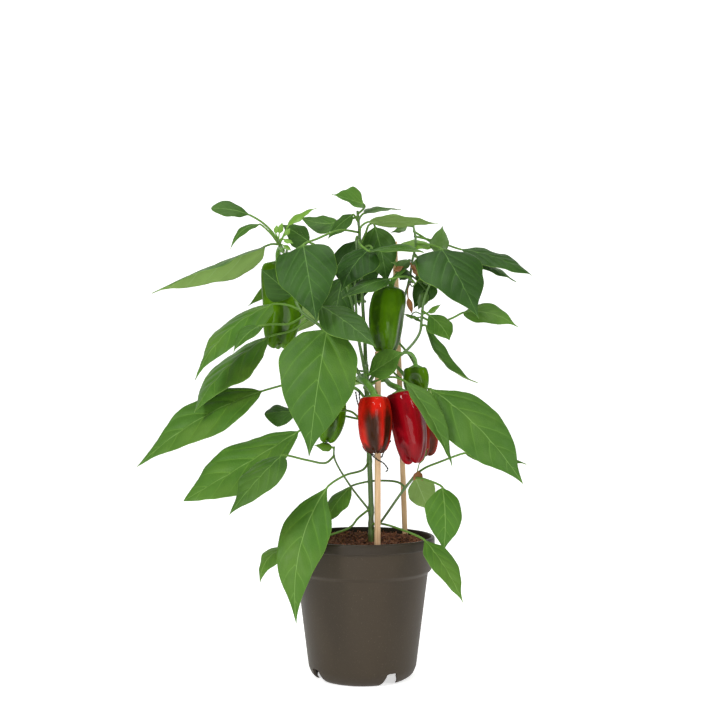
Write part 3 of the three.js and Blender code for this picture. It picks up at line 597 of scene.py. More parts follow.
def leaf_path(row, step):
    """Stations t from −1 to 0 on the stalk and 0 to 1 on the blade, closer together at the blade's two
    ends, with their centres and directions. Rib: base + chord·t + (up·arch + side·bow)·4t(1 − t)."""
    stalk = row["stalk"]
    chord = row["tip"] - stalk[-1]
    length = np.linalg.norm(chord)
    face = square_to(row["face"], chord / length)
    bend = face * row["arch"] + np.cross(chord / length, face) * row["bow"]

    def rib(t):
        return stalk[-1] + chord * t[:, None] + bend * (4 * t * (1 - t))[:, None]

    stalk_rows = int(np.clip(run_along(stalk)[-1] / STALK_STEP, 5, 22))
    s = np.linspace(0, 1, int(np.clip(length / step, 14, 84)))
    t = BLADE_END + (1 - 2 * BLADE_END) * (s - 0.4 * np.sin(TURN * s) / TURN)
    controls = np.vstack([stalk, rib(np.array([1, 3, 6]) * RIB_START)])
    spans = len(controls) - 1
    to_base = np.linspace(0, (len(stalk) - 1) / spans, stalk_rows, endpoint=False)
    first_part = smooth_way(controls, (len(stalk) - 1 + t / RIB_START) / spans)
    blade = np.where(t[:, None] < RIB_START, first_part, rib(t))
    centres = np.vstack([smooth_way(controls, to_base), blade])

    along = unit(np.gradient(centres, axis=0))
    up = square_to(np.broadcast_to(face, along.shape), along)
    for i in range(stalk_rows - 1, -1, -1):
        up[i] = square_to(up[i + 1], along[i])
    t = np.concatenate([np.linspace(-1, 0, stalk_rows, endpoint=False), t])[:, None]
    return t, length, centres, np.cross(along, up), up


sample = leaf([(0, 0, 0), (0, -5, 20)], (0, -90, 30), (0, 0.3, 1), 50, 0.5)
print("stations of a test leaf:", len(leaf_path(sample, 1.7)[0]))

# %% [markdown]
# ## The skin of a leaf
#
# Each ring of the leaf is worked out twice, as a round stalk and as a thin
# blade, and the two are mixed over the first few millimetres. All the bends
# of the blade are heights that are added up: fold, droop, waves, quilting,
# the groove over the rib and the rib's ridge on the underside.

# %% The skin of a leaf
STALK_RADIUS = 1.2
BLADE_THICKNESS = 0.5
EDGE_THICKNESS = 0.3
EDGE_DROOP = 0.12
GROOVE = 0.3
RIB_RIDGE = 1.1
RIM_WAVE = 0.8
PUCKERS = 0.3
SMALL_WIDTH = 20


def ring_columns(width, step):
    """v from rim to rim over the top and back underneath, and 1 where it is underneath. The rim gets more
    points."""
    v = np.linspace(-1, 1, 2 * int(np.clip(width / step / 2, 5, 30)) + 1)
    v = np.sign(v) * np.abs(v) ** 0.9
    return np.concatenate([v, v[::-1]])[None, :], np.repeat([0.0, 1.0], len(v))[None, :]


def blade_ring(row, t, v, under, length, draw):
    """Across: reach·v·cos(fold). Up: reach·(|v|·sin(fold) − droop·v²) + waves + quilting ± half the
    thickness. The reach is the half width, made a little uneven. Small leaves get smaller waves."""
    width, fold = row["width"], row["fold"]
    small = min(1, width / SMALL_WIDTH)
    half = np.sign(v)
    # The fourth number isn't used. Without it, all later draws would change.
    p1, p2, p3, _ = draw.uniform(0, TURN, 4)
    pinch, lopsided = draw.uniform(0, 0.1), draw.uniform(-0.07, 0.07)
    reach = width / 2 * outline(t, row["belly"], row["shoulder"], row["wedge"] + pinch)
    uneven = 0.03 * np.sin(8 * t + p1 + 2 * half) + 0.022 * np.sin(19 * t + p2 - half)
    reach = reach * (1 + lopsided * half) * (1 + uneven * smooth_step(t, 0.05, 0.3))
    number = vein_number(t, v, np.abs(reach * v) / length)

    slow_wave = row["wave"] * v**2 * np.sin(4 * np.pi * t + half * 0.8)
    rim_wave = RIM_WAVE * small * v**4 * np.sin(17 * t + p3 + 2 * half)
    height = np.sin(np.pi * t) * (slow_wave + rim_wave) + min(1.3, width / 48) * quilting(t, v, number)
    pucker = PUCKERS * small * smooth_step(t, 0, 0.2) * np.abs(v)
    height = height + pucker * puckers(reach * v, t * length, draw)
    rib_bell = np.exp(-((reach * v / (small * (1 - 0.6 * t))) ** 2))
    groove = GROOVE * small * rib_bell * (1 - t)
    ridge = RIB_RIDGE * small * rib_bell * (1 - 0.85 * t)
    thick = (BLADE_THICKNESS + (EDGE_THICKNESS - BLADE_THICKNESS) * v**2) / 2
    face = np.where(under > 0.5, -thick - ridge - 0.3 * groove, thick - groove)
    y = reach * (np.abs(v) * np.sin(fold) - EDGE_DROOP * v**2) + height + face
    return reach * v * np.cos(fold), y, np.abs(reach * v), number


def stalk_ring(row, t, v, under):
    """Across: −r·cos a. Up: r·sin a, or down for the underside. The stalk is a little thicker at the
    branch."""
    small = min(1, row["width"] / SMALL_WIDTH)
    radius = STALK_RADIUS * small**0.5 * (1.15 - 0.15 * (1 + np.clip(t, -1, 0)))
    angle = (v + 1) / 2 * np.pi
    return -radius * np.cos(angle), (radius * np.sin(angle) * 0.92 + 0.05) * (1 - 2 * under)


def leaf_skin(row, seed, step=1.7):
    """A leaf from its stalk to its drip tip, as one skin. Its marks are across, along and underside, and
    the distance from the rib, the number of the side vein and the tint."""
    t, length, centres, side, up = leaf_path(row, step)
    v, under = ring_columns(row["width"], step)
    on_blade = np.clip(t, BLADE_END, 1 - BLADE_END)
    draw = np.random.default_rng(seed)
    flat_x, flat_y, from_rib, number = blade_ring(row, on_blade, v, under, length, draw)
    round_x, round_y = stalk_ring(row, t, v, under)
    share = smooth_step(t, 0, 0.06)
    x = round_x * (1 - share) + flat_x * share
    y = round_y * (1 - share) + flat_y * share
    marks = {"place": side_by_side(v, t, under), "vein": side_by_side(from_rib, number, row["tint"])}
    return skin(ring_rows(centres, side, up, x, y), **marks)


print("points of the test leaf:", len(leaf_skin(sample, 0)["points"]))

# %% [markdown]
# ## The leaf material
#
# One material serves all leaves. Each leaf carries a tint, which mixes the
# deep green of an old leaf with the fresh yellowish green of a young one.
# The upper side is a little glossy, with pale veins. The underside is paler
# and duller, and its veins stand out more. A cloudy noise breaks the colour
# up, and a fine net of cells stands for the smallest veins.


# %% The leaf material
def leaf_material():
    """Colour = tint, clouds, side veins and rib on top, with broad patches that hold a painted sheen on dark
    leaves, a painted glow near the veins and a painted highlight on the rim; paler and flatter underneath;
    the stalk in its own green."""
    material, tree = new_material("leaf_green", Specular_IOR_Level=0.16)
    across, along, under = mark(tree, "place")
    from_rib, number, tint = mark(tree, "vein")
    clouds = noise(tree, 45, 4)
    # Broad patches of a paler tone: random on fresh leaves, and a painted blue-grey sheen on dark leaves.
    broad = soft_edge(tree, noise(tree, 16, 2), 0.42, 0.68)

    # Distance to the nearest whole vein number, a little unsteady.
    shaken = calc(tree, "ADD", number, scaled(tree, clouds, 0.14, 0.43))
    away = calc(tree, "ABSOLUTE", scaled(tree, calc(tree, "FRACT", shaken), 1, -0.5))
    outward = calc(tree, "ABSOLUTE", across)
    vein = calc(tree, "MULTIPLY", soft_edge(tree, away, 0.05, 0.0), soft_edge(tree, number, -0.3, 0.0))
    vein = calc(tree, "MULTIPLY", vein, scaled(tree, outward, -0.75, 1))
    # Painted glow of light shining through the leaf: a brighter yellow-green near the side veins and the
    # base.
    near_vein = calc(tree, "MULTIPLY", soft_edge(tree, away, 0.2, 0.0), soft_edge(tree, along, 0.9, 0.1))
    rib = soft_edge(tree, calc(tree, "DIVIDE", from_rib, scaled(tree, along, -1, 1.5)), 0.65, 0.15)
    # Painted highlight: a pale yellow-green line along the margin, where light shines through the thin edge.
    rim = calc(tree, "MULTIPLY", soft_edge(tree, outward, 0.972, 1.0), clouds)

    # Each step on the upper side has its colour for a dark leaf and for a fresh one.
    dark, fresh = blend(tree, clouds, 0x18340A, 0x264612), blend(tree, clouds, 0x3C661C, 0x527C2A)
    top = blend(tree, tint, dark, fresh)
    steps = (
        (broad, 0x3C6228, 0x6C8C34, 0.4),
        (near_vein, 0x35601A, 0x649020, 0.22),
        (vein, 0x567C3C, 0x84AC4C, 0.3),
        (rib, 0x5E8440, 0x86A858, 0.6),
        (rim, 0x7EA83C, 0x7EA83C, 0.9),
    )
    for share, dark, fresh, strength in steps:
        top = blend(tree, share, top, blend(tree, tint, dark, fresh), strength)
    low = blend(tree, clouds, 0x708E48, 0x84A258)
    low = blend(tree, vein, low, 0x93AE74, 0.5)
    low = blend(tree, rib, low, 0x9AB474, 0.7)
    stalk = blend(tree, clouds, 0x4E7428, 0x66883C)
    base = blend(tree, soft_edge(tree, along, 0.0, 0.05), stalk, blend(tree, under, top, low))

    shade(tree, Roughness=calc(tree, "ADD", scaled(tree, clouds, 0.25, 0.345), scaled(tree, under, 0.22)))
    net_inputs = {"Vector": object_place(tree), "Scale": 420}
    cells = add(tree, "ShaderNodeTexVoronoi", net_inputs, feature="DISTANCE_TO_EDGE").outputs["Distance"]
    height = calc(tree, "ADD", soft_edge(tree, cells, 0.0, 0.25), noise(tree, 260, 2))
    return finish(material, base, height, 0.00015, 0.55)


leaf_green = leaf_material()
print("nodes of the leaf material:", len(leaf_green.node_tree.nodes))

# %% [markdown]
# ## The table of leaves
#
# Each row gives the way of the stalk, the tip, where the upper side looks,
# the width and the tint, and then what is special about its form. The first
# word of a name says where on the plant the leaf hangs.

# %% The table of leaves
LEAVES = {
    "top_1": leaf([(-6, -4, 541), (0, -3, 546), (3, -6, 550), (1, -9, 552)], (-36, -28, 560),
         (0.45, -0.65, 0.6), 40, 0.7, belly=0.24, shoulder=0.5, wedge=0.1, fold=0.4),
    "top_2": leaf([(-5, -2, 531), (-3, 2, 538), (1, 4, 543)], (47, 20, 551), (0, -0.3, 0.95), 40, 0.25,
         arch=2, fold=0.2),
    "top_3": leaf([(-3, 2, 516), (-2, -8, 525), (6, -12, 530)], (89, -24, 526), (0, 0.2, 1), 40, 0.75,
         arch=2, fold=0.1),
    "top_4": leaf([(-6, -4, 538), (-18, 10, 536), (-29, 16, 535)], (-77, 14, 542), (-0.2, -0.7, 0.65), 34,
         0.6, arch=-6),
    "top_5": leaf([(-59, 2, 506), (-63, 1, 508)], (-97, -8, 528), (0.2, -0.85, 0.5), 36, 0.35, belly=0.3,
         arch=2),
    "top_6": leaf([(-5, -2, 532), (-11, -12, 539)], (-41, -6, 511), (-0.4, -0.75, 0.5), 25, 0.3, arch=3),
    "top_7": leaf([(-3, 5, 505), (4, 18, 522), (8, 24, 533), (13, 24, 535), (15, 23, 531)], (30, 28, 460),
         (0.2, -0.9, 0.4), 46, 0.3, wedge=0.05, arch=4),
    "top_8": leaf([(-8, 40, 516), (-7, 44, 522), (-6, 47, 522), (-6, 48, 519)], (-4, 62, 436),
         (0, -0.85, 0.45), 60, 0.05, shoulder=0.7, wedge=0.05, arch=6, wave=1),
    "left_1": leaf([(-99, -23, 507), (-107, -23, 518), (-117, -28, 527), (-130, -34, 534)],
         (-173, -50, 539), (-0.1, -0.8, 0.55), 27, 0.3, belly=0.7, shoulder=0.6, arch=4, bow=-1,
         fold=0.2),
    "left_2": leaf([(-96, -26, 499), (-106, -42, 512), (-117, -48, 521)], (-149, -64, 490),
         (-0.3, -0.7, 0.6), 15, 0.45, arch=9),
    "left_3": leaf([(-97, -21, 502), (-106, -18, 503), (-112, -24, 500)], (-239, -55, 441),
         (-0.05, 0.33, 0.94), 54, 0.7, belly=0.32, shoulder=0.6, wedge=0.1, arch=3, fold=-0.46, wave=1.5),
    "left_4": leaf([(-77, -30, 434), (-80, -38, 440)], (-116, -52, 469), (-0.4, -0.85, 0.3), 44, 0.15,
         arch=3),
    "left_5": leaf([(-72, -30, 424), (-85, -37, 429), (-101, -44, 430)], (-184, -88, 342),
         (-0.45, -0.65, 0.6), 57, 0.75, wedge=0.1, arch=12, bow=6, fold=-0.1, wave=1.5),
    "left_6": leaf([(-66, -27, 419), (-83, -46, 407), (-101, -66, 405), (-114, -80, 402)],
         (-140, -104, 371), (-0.3, -0.8, 0.5), 22, 0.5, arch=5, fold=0.2),
    "left_7": leaf([(-62, -25, 415), (-83, -10, 402), (-108, -14, 395)], (-188, -66, 306),
         (-0.5, -0.6, 0.6), 69, 0.9, belly=0.4, arch=4, bow=12, fold=-0.1, wave=1.5),
    "left_8": leaf([(5, 4, 338), (-38, -14, 352), (-90, -24, 338), (-114, -28, 331)], (-251, -70, 245),
         (-0.3, -0.75, 0.6), 65, 0.75, belly=0.38, wedge=0.3, arch=8, bow=6, fold=0.12, wave=2.5),
    "left_9": leaf([(7, 2, 297), (-6, 9, 298), (-21, 15, 301), (-51, 15, 306), (-72, 12, 305)],
         (-116, 0, 303), (-0.2, -0.7, 0.7), 38, 0.25, belly=0.7, arch=3, fold=-0.15, wave=1.5),
    "left_10": leaf([(7, 2, 284), (-14, -22, 307), (-43, -44, 303), (-70, -54, 286)], (-195, -92, 210),
         (-0.3, -0.7, 0.65), 76, 0.8, belly=0.53, shoulder=0.8, wedge=0.3, arch=2, bow=-3, fold=0.12,
         wave=2.5),
    "left_11": leaf([(-33, -12, 255), (-42, -32, 248), (-62, -66, 253), (-87, -96, 260)],
         (-139, -138, 200), (-0.4, -0.75, 0.5), 45, 0.4, belly=0.4, shoulder=0.65, wedge=0.1, arch=8,
         bow=-4, wave=1.5),
    "front_1": leaf([(-4, 1, 520), (-26, -26, 518), (-52, -60, 502), (-66, -76, 493)], (-49, -110, 402),
         (-0.03, -0.97, 0.25), 68, 0.05, belly=0.3, shoulder=0.25, wedge=0, arch=5, wave=1.5),
    "front_2": leaf([(-3, 4, 500), (8, -12, 502), (11, -20, 498)], (-24, -50, 443), (-0.3, -0.8, 0.5), 50,
         0.02, arch=5, bow=3, wave=1),
    "front_3": leaf([(57, 26, 464), (61, -4, 460), (50, -26, 464), (32, -34, 460)], (-23, -66, 434),
         (-0.1, -0.6, 0.8), 32, 0.2, arch=4),
    "front_4": leaf([(-47, -19, 404), (-49, -48, 419), (-47, -62, 426)], (15, -108, 377),
         (0.25, -0.85, 0.45), 46, 0.2, belly=0.4, arch=4),
    "front_5": leaf([(-38, -14, 394), (-36, -45, 408), (-39, -76, 400)], (-58, -100, 257),
         (0, -0.97, 0.2), 88, 0.55, belly=0.32, shoulder=0.6, wedge=0.1, arch=8, bow=1, wave=2.5),
    "front_6": leaf([(3, 6, 362), (5, -22, 360), (6, -36, 355), (7, -42, 349)], (46, -58, 374),
         (-0.2, -0.8, 0.5), 39, 0.6, belly=0.46, fold=0.2),
    "front_7": leaf([(-4, 2, 512), (-3, -24, 502), (8, -34, 492)], (70, -56, 487), (0, -0.33, 0.94), 48,
         0.5, belly=0.45, arch=4, fold=0.15),
    "right_1": leaf([(64, 10, 508), (80, -6, 504), (92, -26, 496)], (130, -74, 410), (0.2, -0.8, 0.55),
         81, 0.05, belly=0.3, shoulder=0.3, wedge=0, arch=8, bow=3, wave=2),
    "right_2": leaf([(62, 10, 517), (92, 18, 511), (118, 16, 502)], (202, 0, 468), (0.15, -0.55, 0.8), 46,
         0.1, belly=0.42, arch=6, wave=1.5),
    "right_3": leaf([(61, 9, 523), (94, 28, 507), (132, 32, 493)], (188, 30, 464), (0.15, -0.5, 0.85), 26,
         0.3, arch=2),
    "right_4": leaf([(70, -8, 418), (88, 4, 412), (106, -2, 417), (118, -8, 423)], (181, -30, 404),
         (0.1, -0.75, 0.65), 38, 0.75, arch=10),
    "right_5": leaf([(70, -8, 426), (77, -16, 420)], (100, -38, 388), (0.2, -0.9, 0.4), 31, 0.6,
         belly=0.42, bow=-4),
    "right_6": leaf([(69, -8, 408), (75, -6, 408)], (134, -26, 340), (0.6, -0.5, 0.6), 30, 0.35, arch=-15,
         fold=0.5),
    "right_7": leaf([(36, 30, 399), (60, 30, 370), (74, 13, 328), (76, -22, 322), (77, -43, 333)],
         (175, -92, 228), (0.2, -0.85, 0.5), 71, 0.6, belly=0.42, wedge=0.45, arch=9, bow=-4, fold=0.1,
         wave=2.5),
    "right_8": leaf([(5, 4, 332), (3, -34, 336), (13, -42, 341), (34, -54, 346), (48, -64, 341)],
         (97, -106, 247), (0.5, -0.75, 0.4), 34, 0.5, arch=8, fold=0.45),
    "right_9": leaf([(64, -14, 235), (74, -9, 241), (88, -13, 247), (119, -12, 258)], (191, -18, 245),
         (0.1, -0.5, 0.9), 28, 0.55, arch=4),
    "right_10": leaf([(80, -4, 459), (84, 8, 468), (84, 13, 469), (83, 15, 466)], (62, 18, 430),
         (-0.1, -0.8, 0.5), 32, 0.2, arch=4),
    "low_1": leaf([(8, 0, 248), (1, -12, 239), (-20, -38, 234), (-38, -62, 224)], (-69, -128, 84),
         (-0.15, -0.95, 0.35), 54, 0.7, belly=0.37, shoulder=1.4, wedge=0.5, arch=10, bow=13, wave=2.5),
    "low_2": leaf([(50, -12, 218), (42, 4, 223), (27, 14, 224), (7, 14, 223), (-13, 10, 218)],
         (-46, -14, 173), (-0.5, -0.7, 0.5), 30, 1.0, belly=0.45, arch=4, wave=1),
    "low_3": leaf([(10, 0, 193), (-5, -16, 183), (-13, -30, 175), (-36, -58, 169), (-84, -70, 157)],
         (-112, -86, 119), (-0.5, -0.6, 0.6), 32, 0.8, belly=0.3, arch=12),
    "low_4": leaf([(59, -15, 230), (62, -6, 229)], (79, 8, 189), (-0.2, 0.9, 0.35), 34, 1.0, belly=0.42,
         arch=3),
    "low_5": leaf([(61, -17, 230), (72, -30, 229), (91, -40, 221)], (91, -54, 149), (0.1, -0.95, 0.3), 43,
         0.85, belly=0.38, wedge=0.1, arch=4, bow=-2, wave=1.5),
    "low_6": leaf([(10, 0, 174), (22, -12, 176), (48, -46, 172), (68, -74, 166)], (107, -114, 104),
         (0.5, -0.7, 0.5), 38, 0.75, belly=0.36, wedge=0.5, arch=5, fold=0.15, wave=1),
    "back_1": leaf([(4, 4, 354), (-13, 36, 356), (-24, 54, 352)], (-57, 138, 304), (-0.2, 0.5, 0.85), 70,
         0.4, arch=14, wave=2.5),
    "back_2": leaf([(24, 22, 370), (42, 34, 350), (60, 42, 338), (84, 62, 334)], (150, 120, 262),
         (0.4, 0.5, 0.8), 68, 0.5, arch=12, wave=2.5),
    "back_3": leaf([(0, 12, 441), (3, 33, 440), (-12, 50, 443), (-38, 56, 444)], (-92, 110, 400),
         (-0.4, 0.6, 0.7), 56, 0.3, arch=12, wave=2),
    "back_4": leaf([(-17, 15, 447), (-17, 30, 464), (-18, 38, 475), (-21, 42, 477), (-24, 43, 472)],
         (-36, 42, 402), (-0.2, -0.9, 0.3), 46, 0.2, arch=4, wave=1),
}

vertices = 0
for seed, (name, row) in enumerate(LEAVES.items()):
    piece = add_piece("leaf_" + name, leaf_skin(row, seed), leaf_green)
    vertices += len(piece.data.vertices)
print(len(LEAVES), "leaves with", vertices, "points")

# %% [markdown]
# ## Young leaves and sprigs
#
# The tips of the branches carry leaves that are still small. They grow from
# the stem in one piece with it. So do the details that are too small to
# measure: buds, folded leaflets among the branches, and withered petals and
# a sheath. A tint of 2 means dry.

# %% Young leaves and sprigs
YOUNG_LEAVES = [
    leaf([(-96, -25, 503), (-87, -21, 524)], (-53, -12, 547), (-0.4, -0.7, 0.6), 15, 0.75, bow=-5),
    leaf([(89, -8, 488), (88, -2, 494)], (96, 4, 529), (0, -1, 0.2), 23, 0.2),
    leaf([(70, -8, 421), (77, -11, 423)], (92, -18, 432), (-0.5, -0.8, 0.5), 9, 0.5),
    leaf([(61, 8, 528), (54, 9, 529)], (34, 10, 521), (-0.3, -0.7, 0.7), 12, 0.15),
    leaf([(61, 16, 494), (72, 34, 494), (84, 40, 498), (92, 33, 503), (87, 26, 506)], (37, 26, 502),
         (0, -0.45, 0.9), 36, 1.0, arch=8),
    leaf([(70, -8, 418), (62, -12, 417)], (48, -14, 421), (0, -0.6, 0.8), 8, 0.5),
    leaf([(-33, -12, 262), (-35, -12, 265)], (-56, -16, 267), (0, -0.7, 0.7), 15, 0.6),
    leaf([(-98, -24, 506), (-97, -26, 514)], (-93, -30, 527), (0.3, -1, 0), 7, 0.9),
    leaf([(-98, -24, 506), (-91, -28, 507)], (-80, -34, 501), (0.2, -0.8, 0.6), 8, 0.8),
    leaf([(63, -16, 233), (66, -19, 246)], (76, -20, 264), (-0.6, -0.7, 0.2), 5, 0.6),
    leaf([(58, 22, 472), (67, 13, 463), (77, 8, 450)], (66, 5, 427), (0, -0.9, 0.3), 14, 0.15),
    leaf([(-90, -28, 487), (-90, 6, 500), (-98, 42, 474)], (-140, 26, 433), (-0.37, 0.93, 0), 14, 0.4),
]
SPRIGS = [
    leaf([(60, 18, 487), (56, 8, 488)], (38, -4, 470), (-0.2, -0.8, 0.6), 18, 0.1, fold=0.3),
    leaf([(62, 14, 497), (66, 4, 490)], (72, -4, 462), (0.3, -0.9, 0.3), 20, 0.15),
    leaf([(58, 22, 474), (50, 12, 478)], (34, 0, 484), (0, -0.7, 0.7), 14, 0.4, fold=0.3),
    leaf([(59, 20, 480), (66, 12, 474)], (80, 2, 455), (0.2, -0.8, 0.5), 16, 0.2),
    leaf([(58, 22, 470), (53, 10, 474)], (44, 0, 462), (-0.1, -0.9, 0.2), 13, 0.05),
    leaf([(57, 26, 464), (60, 8, 456), (66, -4, 462)], (84, -14, 474), (0, -0.8, 0.5), 6, 0.6),
    leaf([(70, -8, 421), (62, -8, 424), (58, -6, 420)], (71, -8, 411), (0, -0.7, 0.7), 6, 0.3),
    leaf([(58, 20, 462), (54, 4, 452), (54, -4, 441)], (59, -6, 421), (0.1, -1, 0), 7, 2),
    leaf([(50, 4, 478), (47, -3, 478)], (36, -8, 472), (-0.1, -1, 0.2), 7, 2),
    leaf([(58, 6, 478), (60, -2, 476)], (67, -8, 466), (0.1, -1, 0.2), 6, 2),
    leaf([(56, 8, 486), (58, 0, 482)], (64, -5, 474), (0.1, -1, 0.2), 5, 2),
    leaf([(64, -16, 237), (64, -18, 236)], (59, -20, 226), (-0.2, -1, 0.1), 6, 2),
    leaf([(64, -16, 237), (65, -18, 237)], (70, -20, 226), (0.2, -1, 0.1), 6, 2),
    leaf([(-98, -24, 508), (-101, -27, 514)], (-99, -30, 524), (0, -1, 0), 6, 0.9),
    leaf([(-98, -24, 506), (-90, -26, 512)], (-84, -28, 520), (0.2, -1, 0), 6, 0.8),
    leaf([(-98, -24, 503), (-92, -28, 500)], (-82, -32, 493), (0.2, -1, 0.2), 6, 0.8),
]
print(len(YOUNG_LEAVES), "young leaves and", len(SPRIGS), "sprigs")

# %% [markdown]
# ## The branches
#
# A pepper's branches are slightly angular, with five low ridges, and swell
# where they fork. The ridges are a small wave in the radius, and the swelling
# is a bell added at each fork. The tubes simply run into each other, which is
# what a fork looks like once the bells cover the seams.

# %% The branches
RIDGES = 5
LIMB_STEP = 2.2
KNOT_SWELLING = 0.22
KNOT_REACH = 3.2


def tube(centres, radii, sides=12, ridges=0.0, tone=0.0):
    """A rod: centre + r·(across·cos a + up·sin a), with r = radius·(1 + ridges·cos 5a). Its mark holds
    the angle, the length so far in millimetres and a tone."""
    _, across, up = frames(centres)
    angle = circle(sides)
    r = np.asarray(radii, float)[:, None] * (1 + ridges * np.cos(RIDGES * angle))
    rings = ring_rows(centres, across, up, r * np.cos(angle), r * np.sin(angle))
    return skin(rings, place=side_by_side(angle, run_along(centres)[:, None], tone))


def limb_skin(way, start, end, knots):
    """A branch: its radius runs evenly from start to end, with a bell added near every knot."""
    centres = even_way(way, int(run_along(way)[-1] / LIMB_STEP))
    gap = np.linalg.norm(centres[:, None] - knots, axis=2)
    swelling = KNOT_SWELLING * np.exp(-((gap / KNOT_REACH) ** 2)).max(1)
    return tube(centres, np.linspace(start, end, len(centres)) * (1 + swelling), 15, 0.05)


knots = np.array([row["stalk"][0] for row in LEAVES.values()] + [way[0] for way, _, _ in LIMBS[1:]], float)
stem_shells = [limb_skin(*limb, knots) for limb in LIMBS]
stem_shells += [leaf_skin(row, 90 + i, 1.2) for i, row in enumerate(YOUNG_LEAVES + SPRIGS)]
print("stem:", len(LIMBS), "branches that swell at", len(knots), "knots")

# %% [markdown]
# ## The peppers
#
# A blocky pepper is a body of revolution that has been pressed into three or
# four lobes. Its side view is a short table of radius and depth. The lobes
# are a wave round the axis that grows deeper towards the end, with creases
# narrower than the lobes between them, and the end of each lobe hangs lower
# than the hollow in the middle.

# %% The peppers
# radius, depth
PEPPER_PROFILE = [
    (0.02, 0.075), (0.3, 0.06), (0.62, 0.005), (0.86, 0.05), (0.98, 0.17), (1, 0.35), (0.95, 0.56),
    (0.84, 0.76), (0.6, 0.93), (0.28, 0.985), (0.02, 0.955),
]
LOBE_PRESS = (0.07, 0.1)
LOBE_DROP = 0.035
PEPPER_COLUMNS = "name finish crown end radius lobes turn bow stalk stalk_radius".split()
PEPPER_ROWS = [
    ("red_1", "scarlet", (13, -56, 324), (15.5, -57, 261), 17.8, 4, 1.48, 0, [(4, 5, 350), (-4, -24, 346),
     (4, -48, 340)], 3.2),
    ("red_2", "crimson", (44, -34, 329), (59, -41, 249), 20, 3, 1.57, 3, [(5, 4, 338), (25, 2, 344),
     (33, -20, 338)], 2.8),
    ("red_3", "maroon", (68, 10, 308), (75, 8, 254), 17, 4, 0.2, 0, [(26, 23, 375), (48, 33, 354),
     (64, 25, 328)], 2.2),
    ("green_1", "green", (-101, 10, 484), (-100, 6, 383), 23, 3, 2.62, 4, [(-93, -27, 494),
     (-97, -8, 501), (-101, 6, 496)], 2.6),
    ("green_2", "green", (34, 2, 453), (28, 2, 376), 20.4, 3, 1.57, -2, [(58, 24, 468), (51, 13, 475),
     (39, 4, 466)], 2.6),
    ("green_3", "green", (63, -2, 359), (64.5, -2, 325), 14.6, 3, 0.9, 0, [(48, -8, 376), (57, -6, 375),
     (62, -4, 368)], 2),
    ("green_4", "green", (-35, -5, 329), (-42, -10, 271), 14.6, 3, 2.6, 3, [(5, 4, 320), (-7, 4, 333),
     (-21, 0, 337)], 2),
]
PEPPERS = [dict(zip(PEPPER_COLUMNS, row)) for row in PEPPER_ROWS]


def pepper_axes(pepper):
    """The crown, the length, and the directions down, across and round of a pepper."""
    crown, end = np.array(pepper["crown"], float), np.array(pepper["end"], float)
    length = np.linalg.norm(end - crown)
    down = (end - crown) / length
    across = square_to(np.array([1, 0.2, 0]), down)
    return crown, length, down, across, np.cross(down, across)


def pepper_skin(pepper, seed, rows=70, columns=96):
    """crown + down·depth + (across·cos a + round·sin a)·reach, where reach = radius·profile·(1 + depth of
    the lobes·wave + small lumps). The wave is half a cosine and half 1 − 2·|sin(n·a/2)|³, which keeps the
    creases narrow."""
    crown, length, down, across, around = pepper_axes(pepper)
    profile = smooth_way([(wide, deep, 0) for wide, deep in PEPPER_PROFILE], np.linspace(0, 1, rows))
    wide, deep = profile[:, :1], profile[:, 1:2]
    angle = circle(columns)[None, :]
    phase = pepper["lobes"] * (angle - pepper["turn"])
    lobe = 0.5 * np.cos(phase) + 0.5 * (1 - 2 * np.abs(np.sin(phase / 2)) ** 3)
    p1, p2, p3, p4 = np.random.default_rng(seed).uniform(0, TURN, 4)
    lumps = 0.018 * np.sin(2 * angle + 5 * deep + p1) + 0.014 * np.sin(3 * angle - 9 * deep + p2)
    lumps = lumps + 0.008 * np.sin(7 * angle + 14 * deep + p3) * np.sin(11 * deep + p4)
    press = LOBE_PRESS[0] + LOBE_PRESS[1] * deep
    reach = pepper["radius"] * wide * (1 + press * lobe + lumps * smooth_step(deep, 0.02, 0.2))
    drop = length * (deep + LOBE_DROP * lobe * np.clip(deep, 0, 1) ** 4)
    bow = pepper["bow"] * np.sin(np.pi * np.clip(deep, 0, 1))
    x, y = bow + reach * np.cos(angle), reach * np.sin(angle)
    rings = placed(crown, (down, drop), (across, x), (around, y))
    direction = side_by_side(np.cos(angle), np.sin(angle), 0 * deep)
    return skin(rings, place=side_by_side(angle, deep, lobe), vein=direction)


print("points of a pepper:", len(pepper_skin(PEPPERS[0], 40)["points"]))

# %% [markdown]
# ## Stalks and caps of the peppers
#
# A pepper hangs on a thick ridged stalk that flares into a cap with five or
# six blunt points. The cap lies on the crown like a saucer, with a rim that
# is rolled under. Stalk and cap stay with the stem, as they do on the plant.

# %% Stalks and caps of the peppers
# The cap's section: out over the crown, round its rim and back underneath. A reach is a share of the
# fruit's radius, and a height is in millimetres below the crown.
CAP_REACH = [0.2, 0.33, 0.47, 0.56, 0.57, 0.5, 0.34, 0.15]
CAP_HEIGHT = [-4.6, -2.9, -1.7, -0.7, 0.6, 1.3, 1.2, 1.2, 1.4]
CAP_POINTS = 0.26


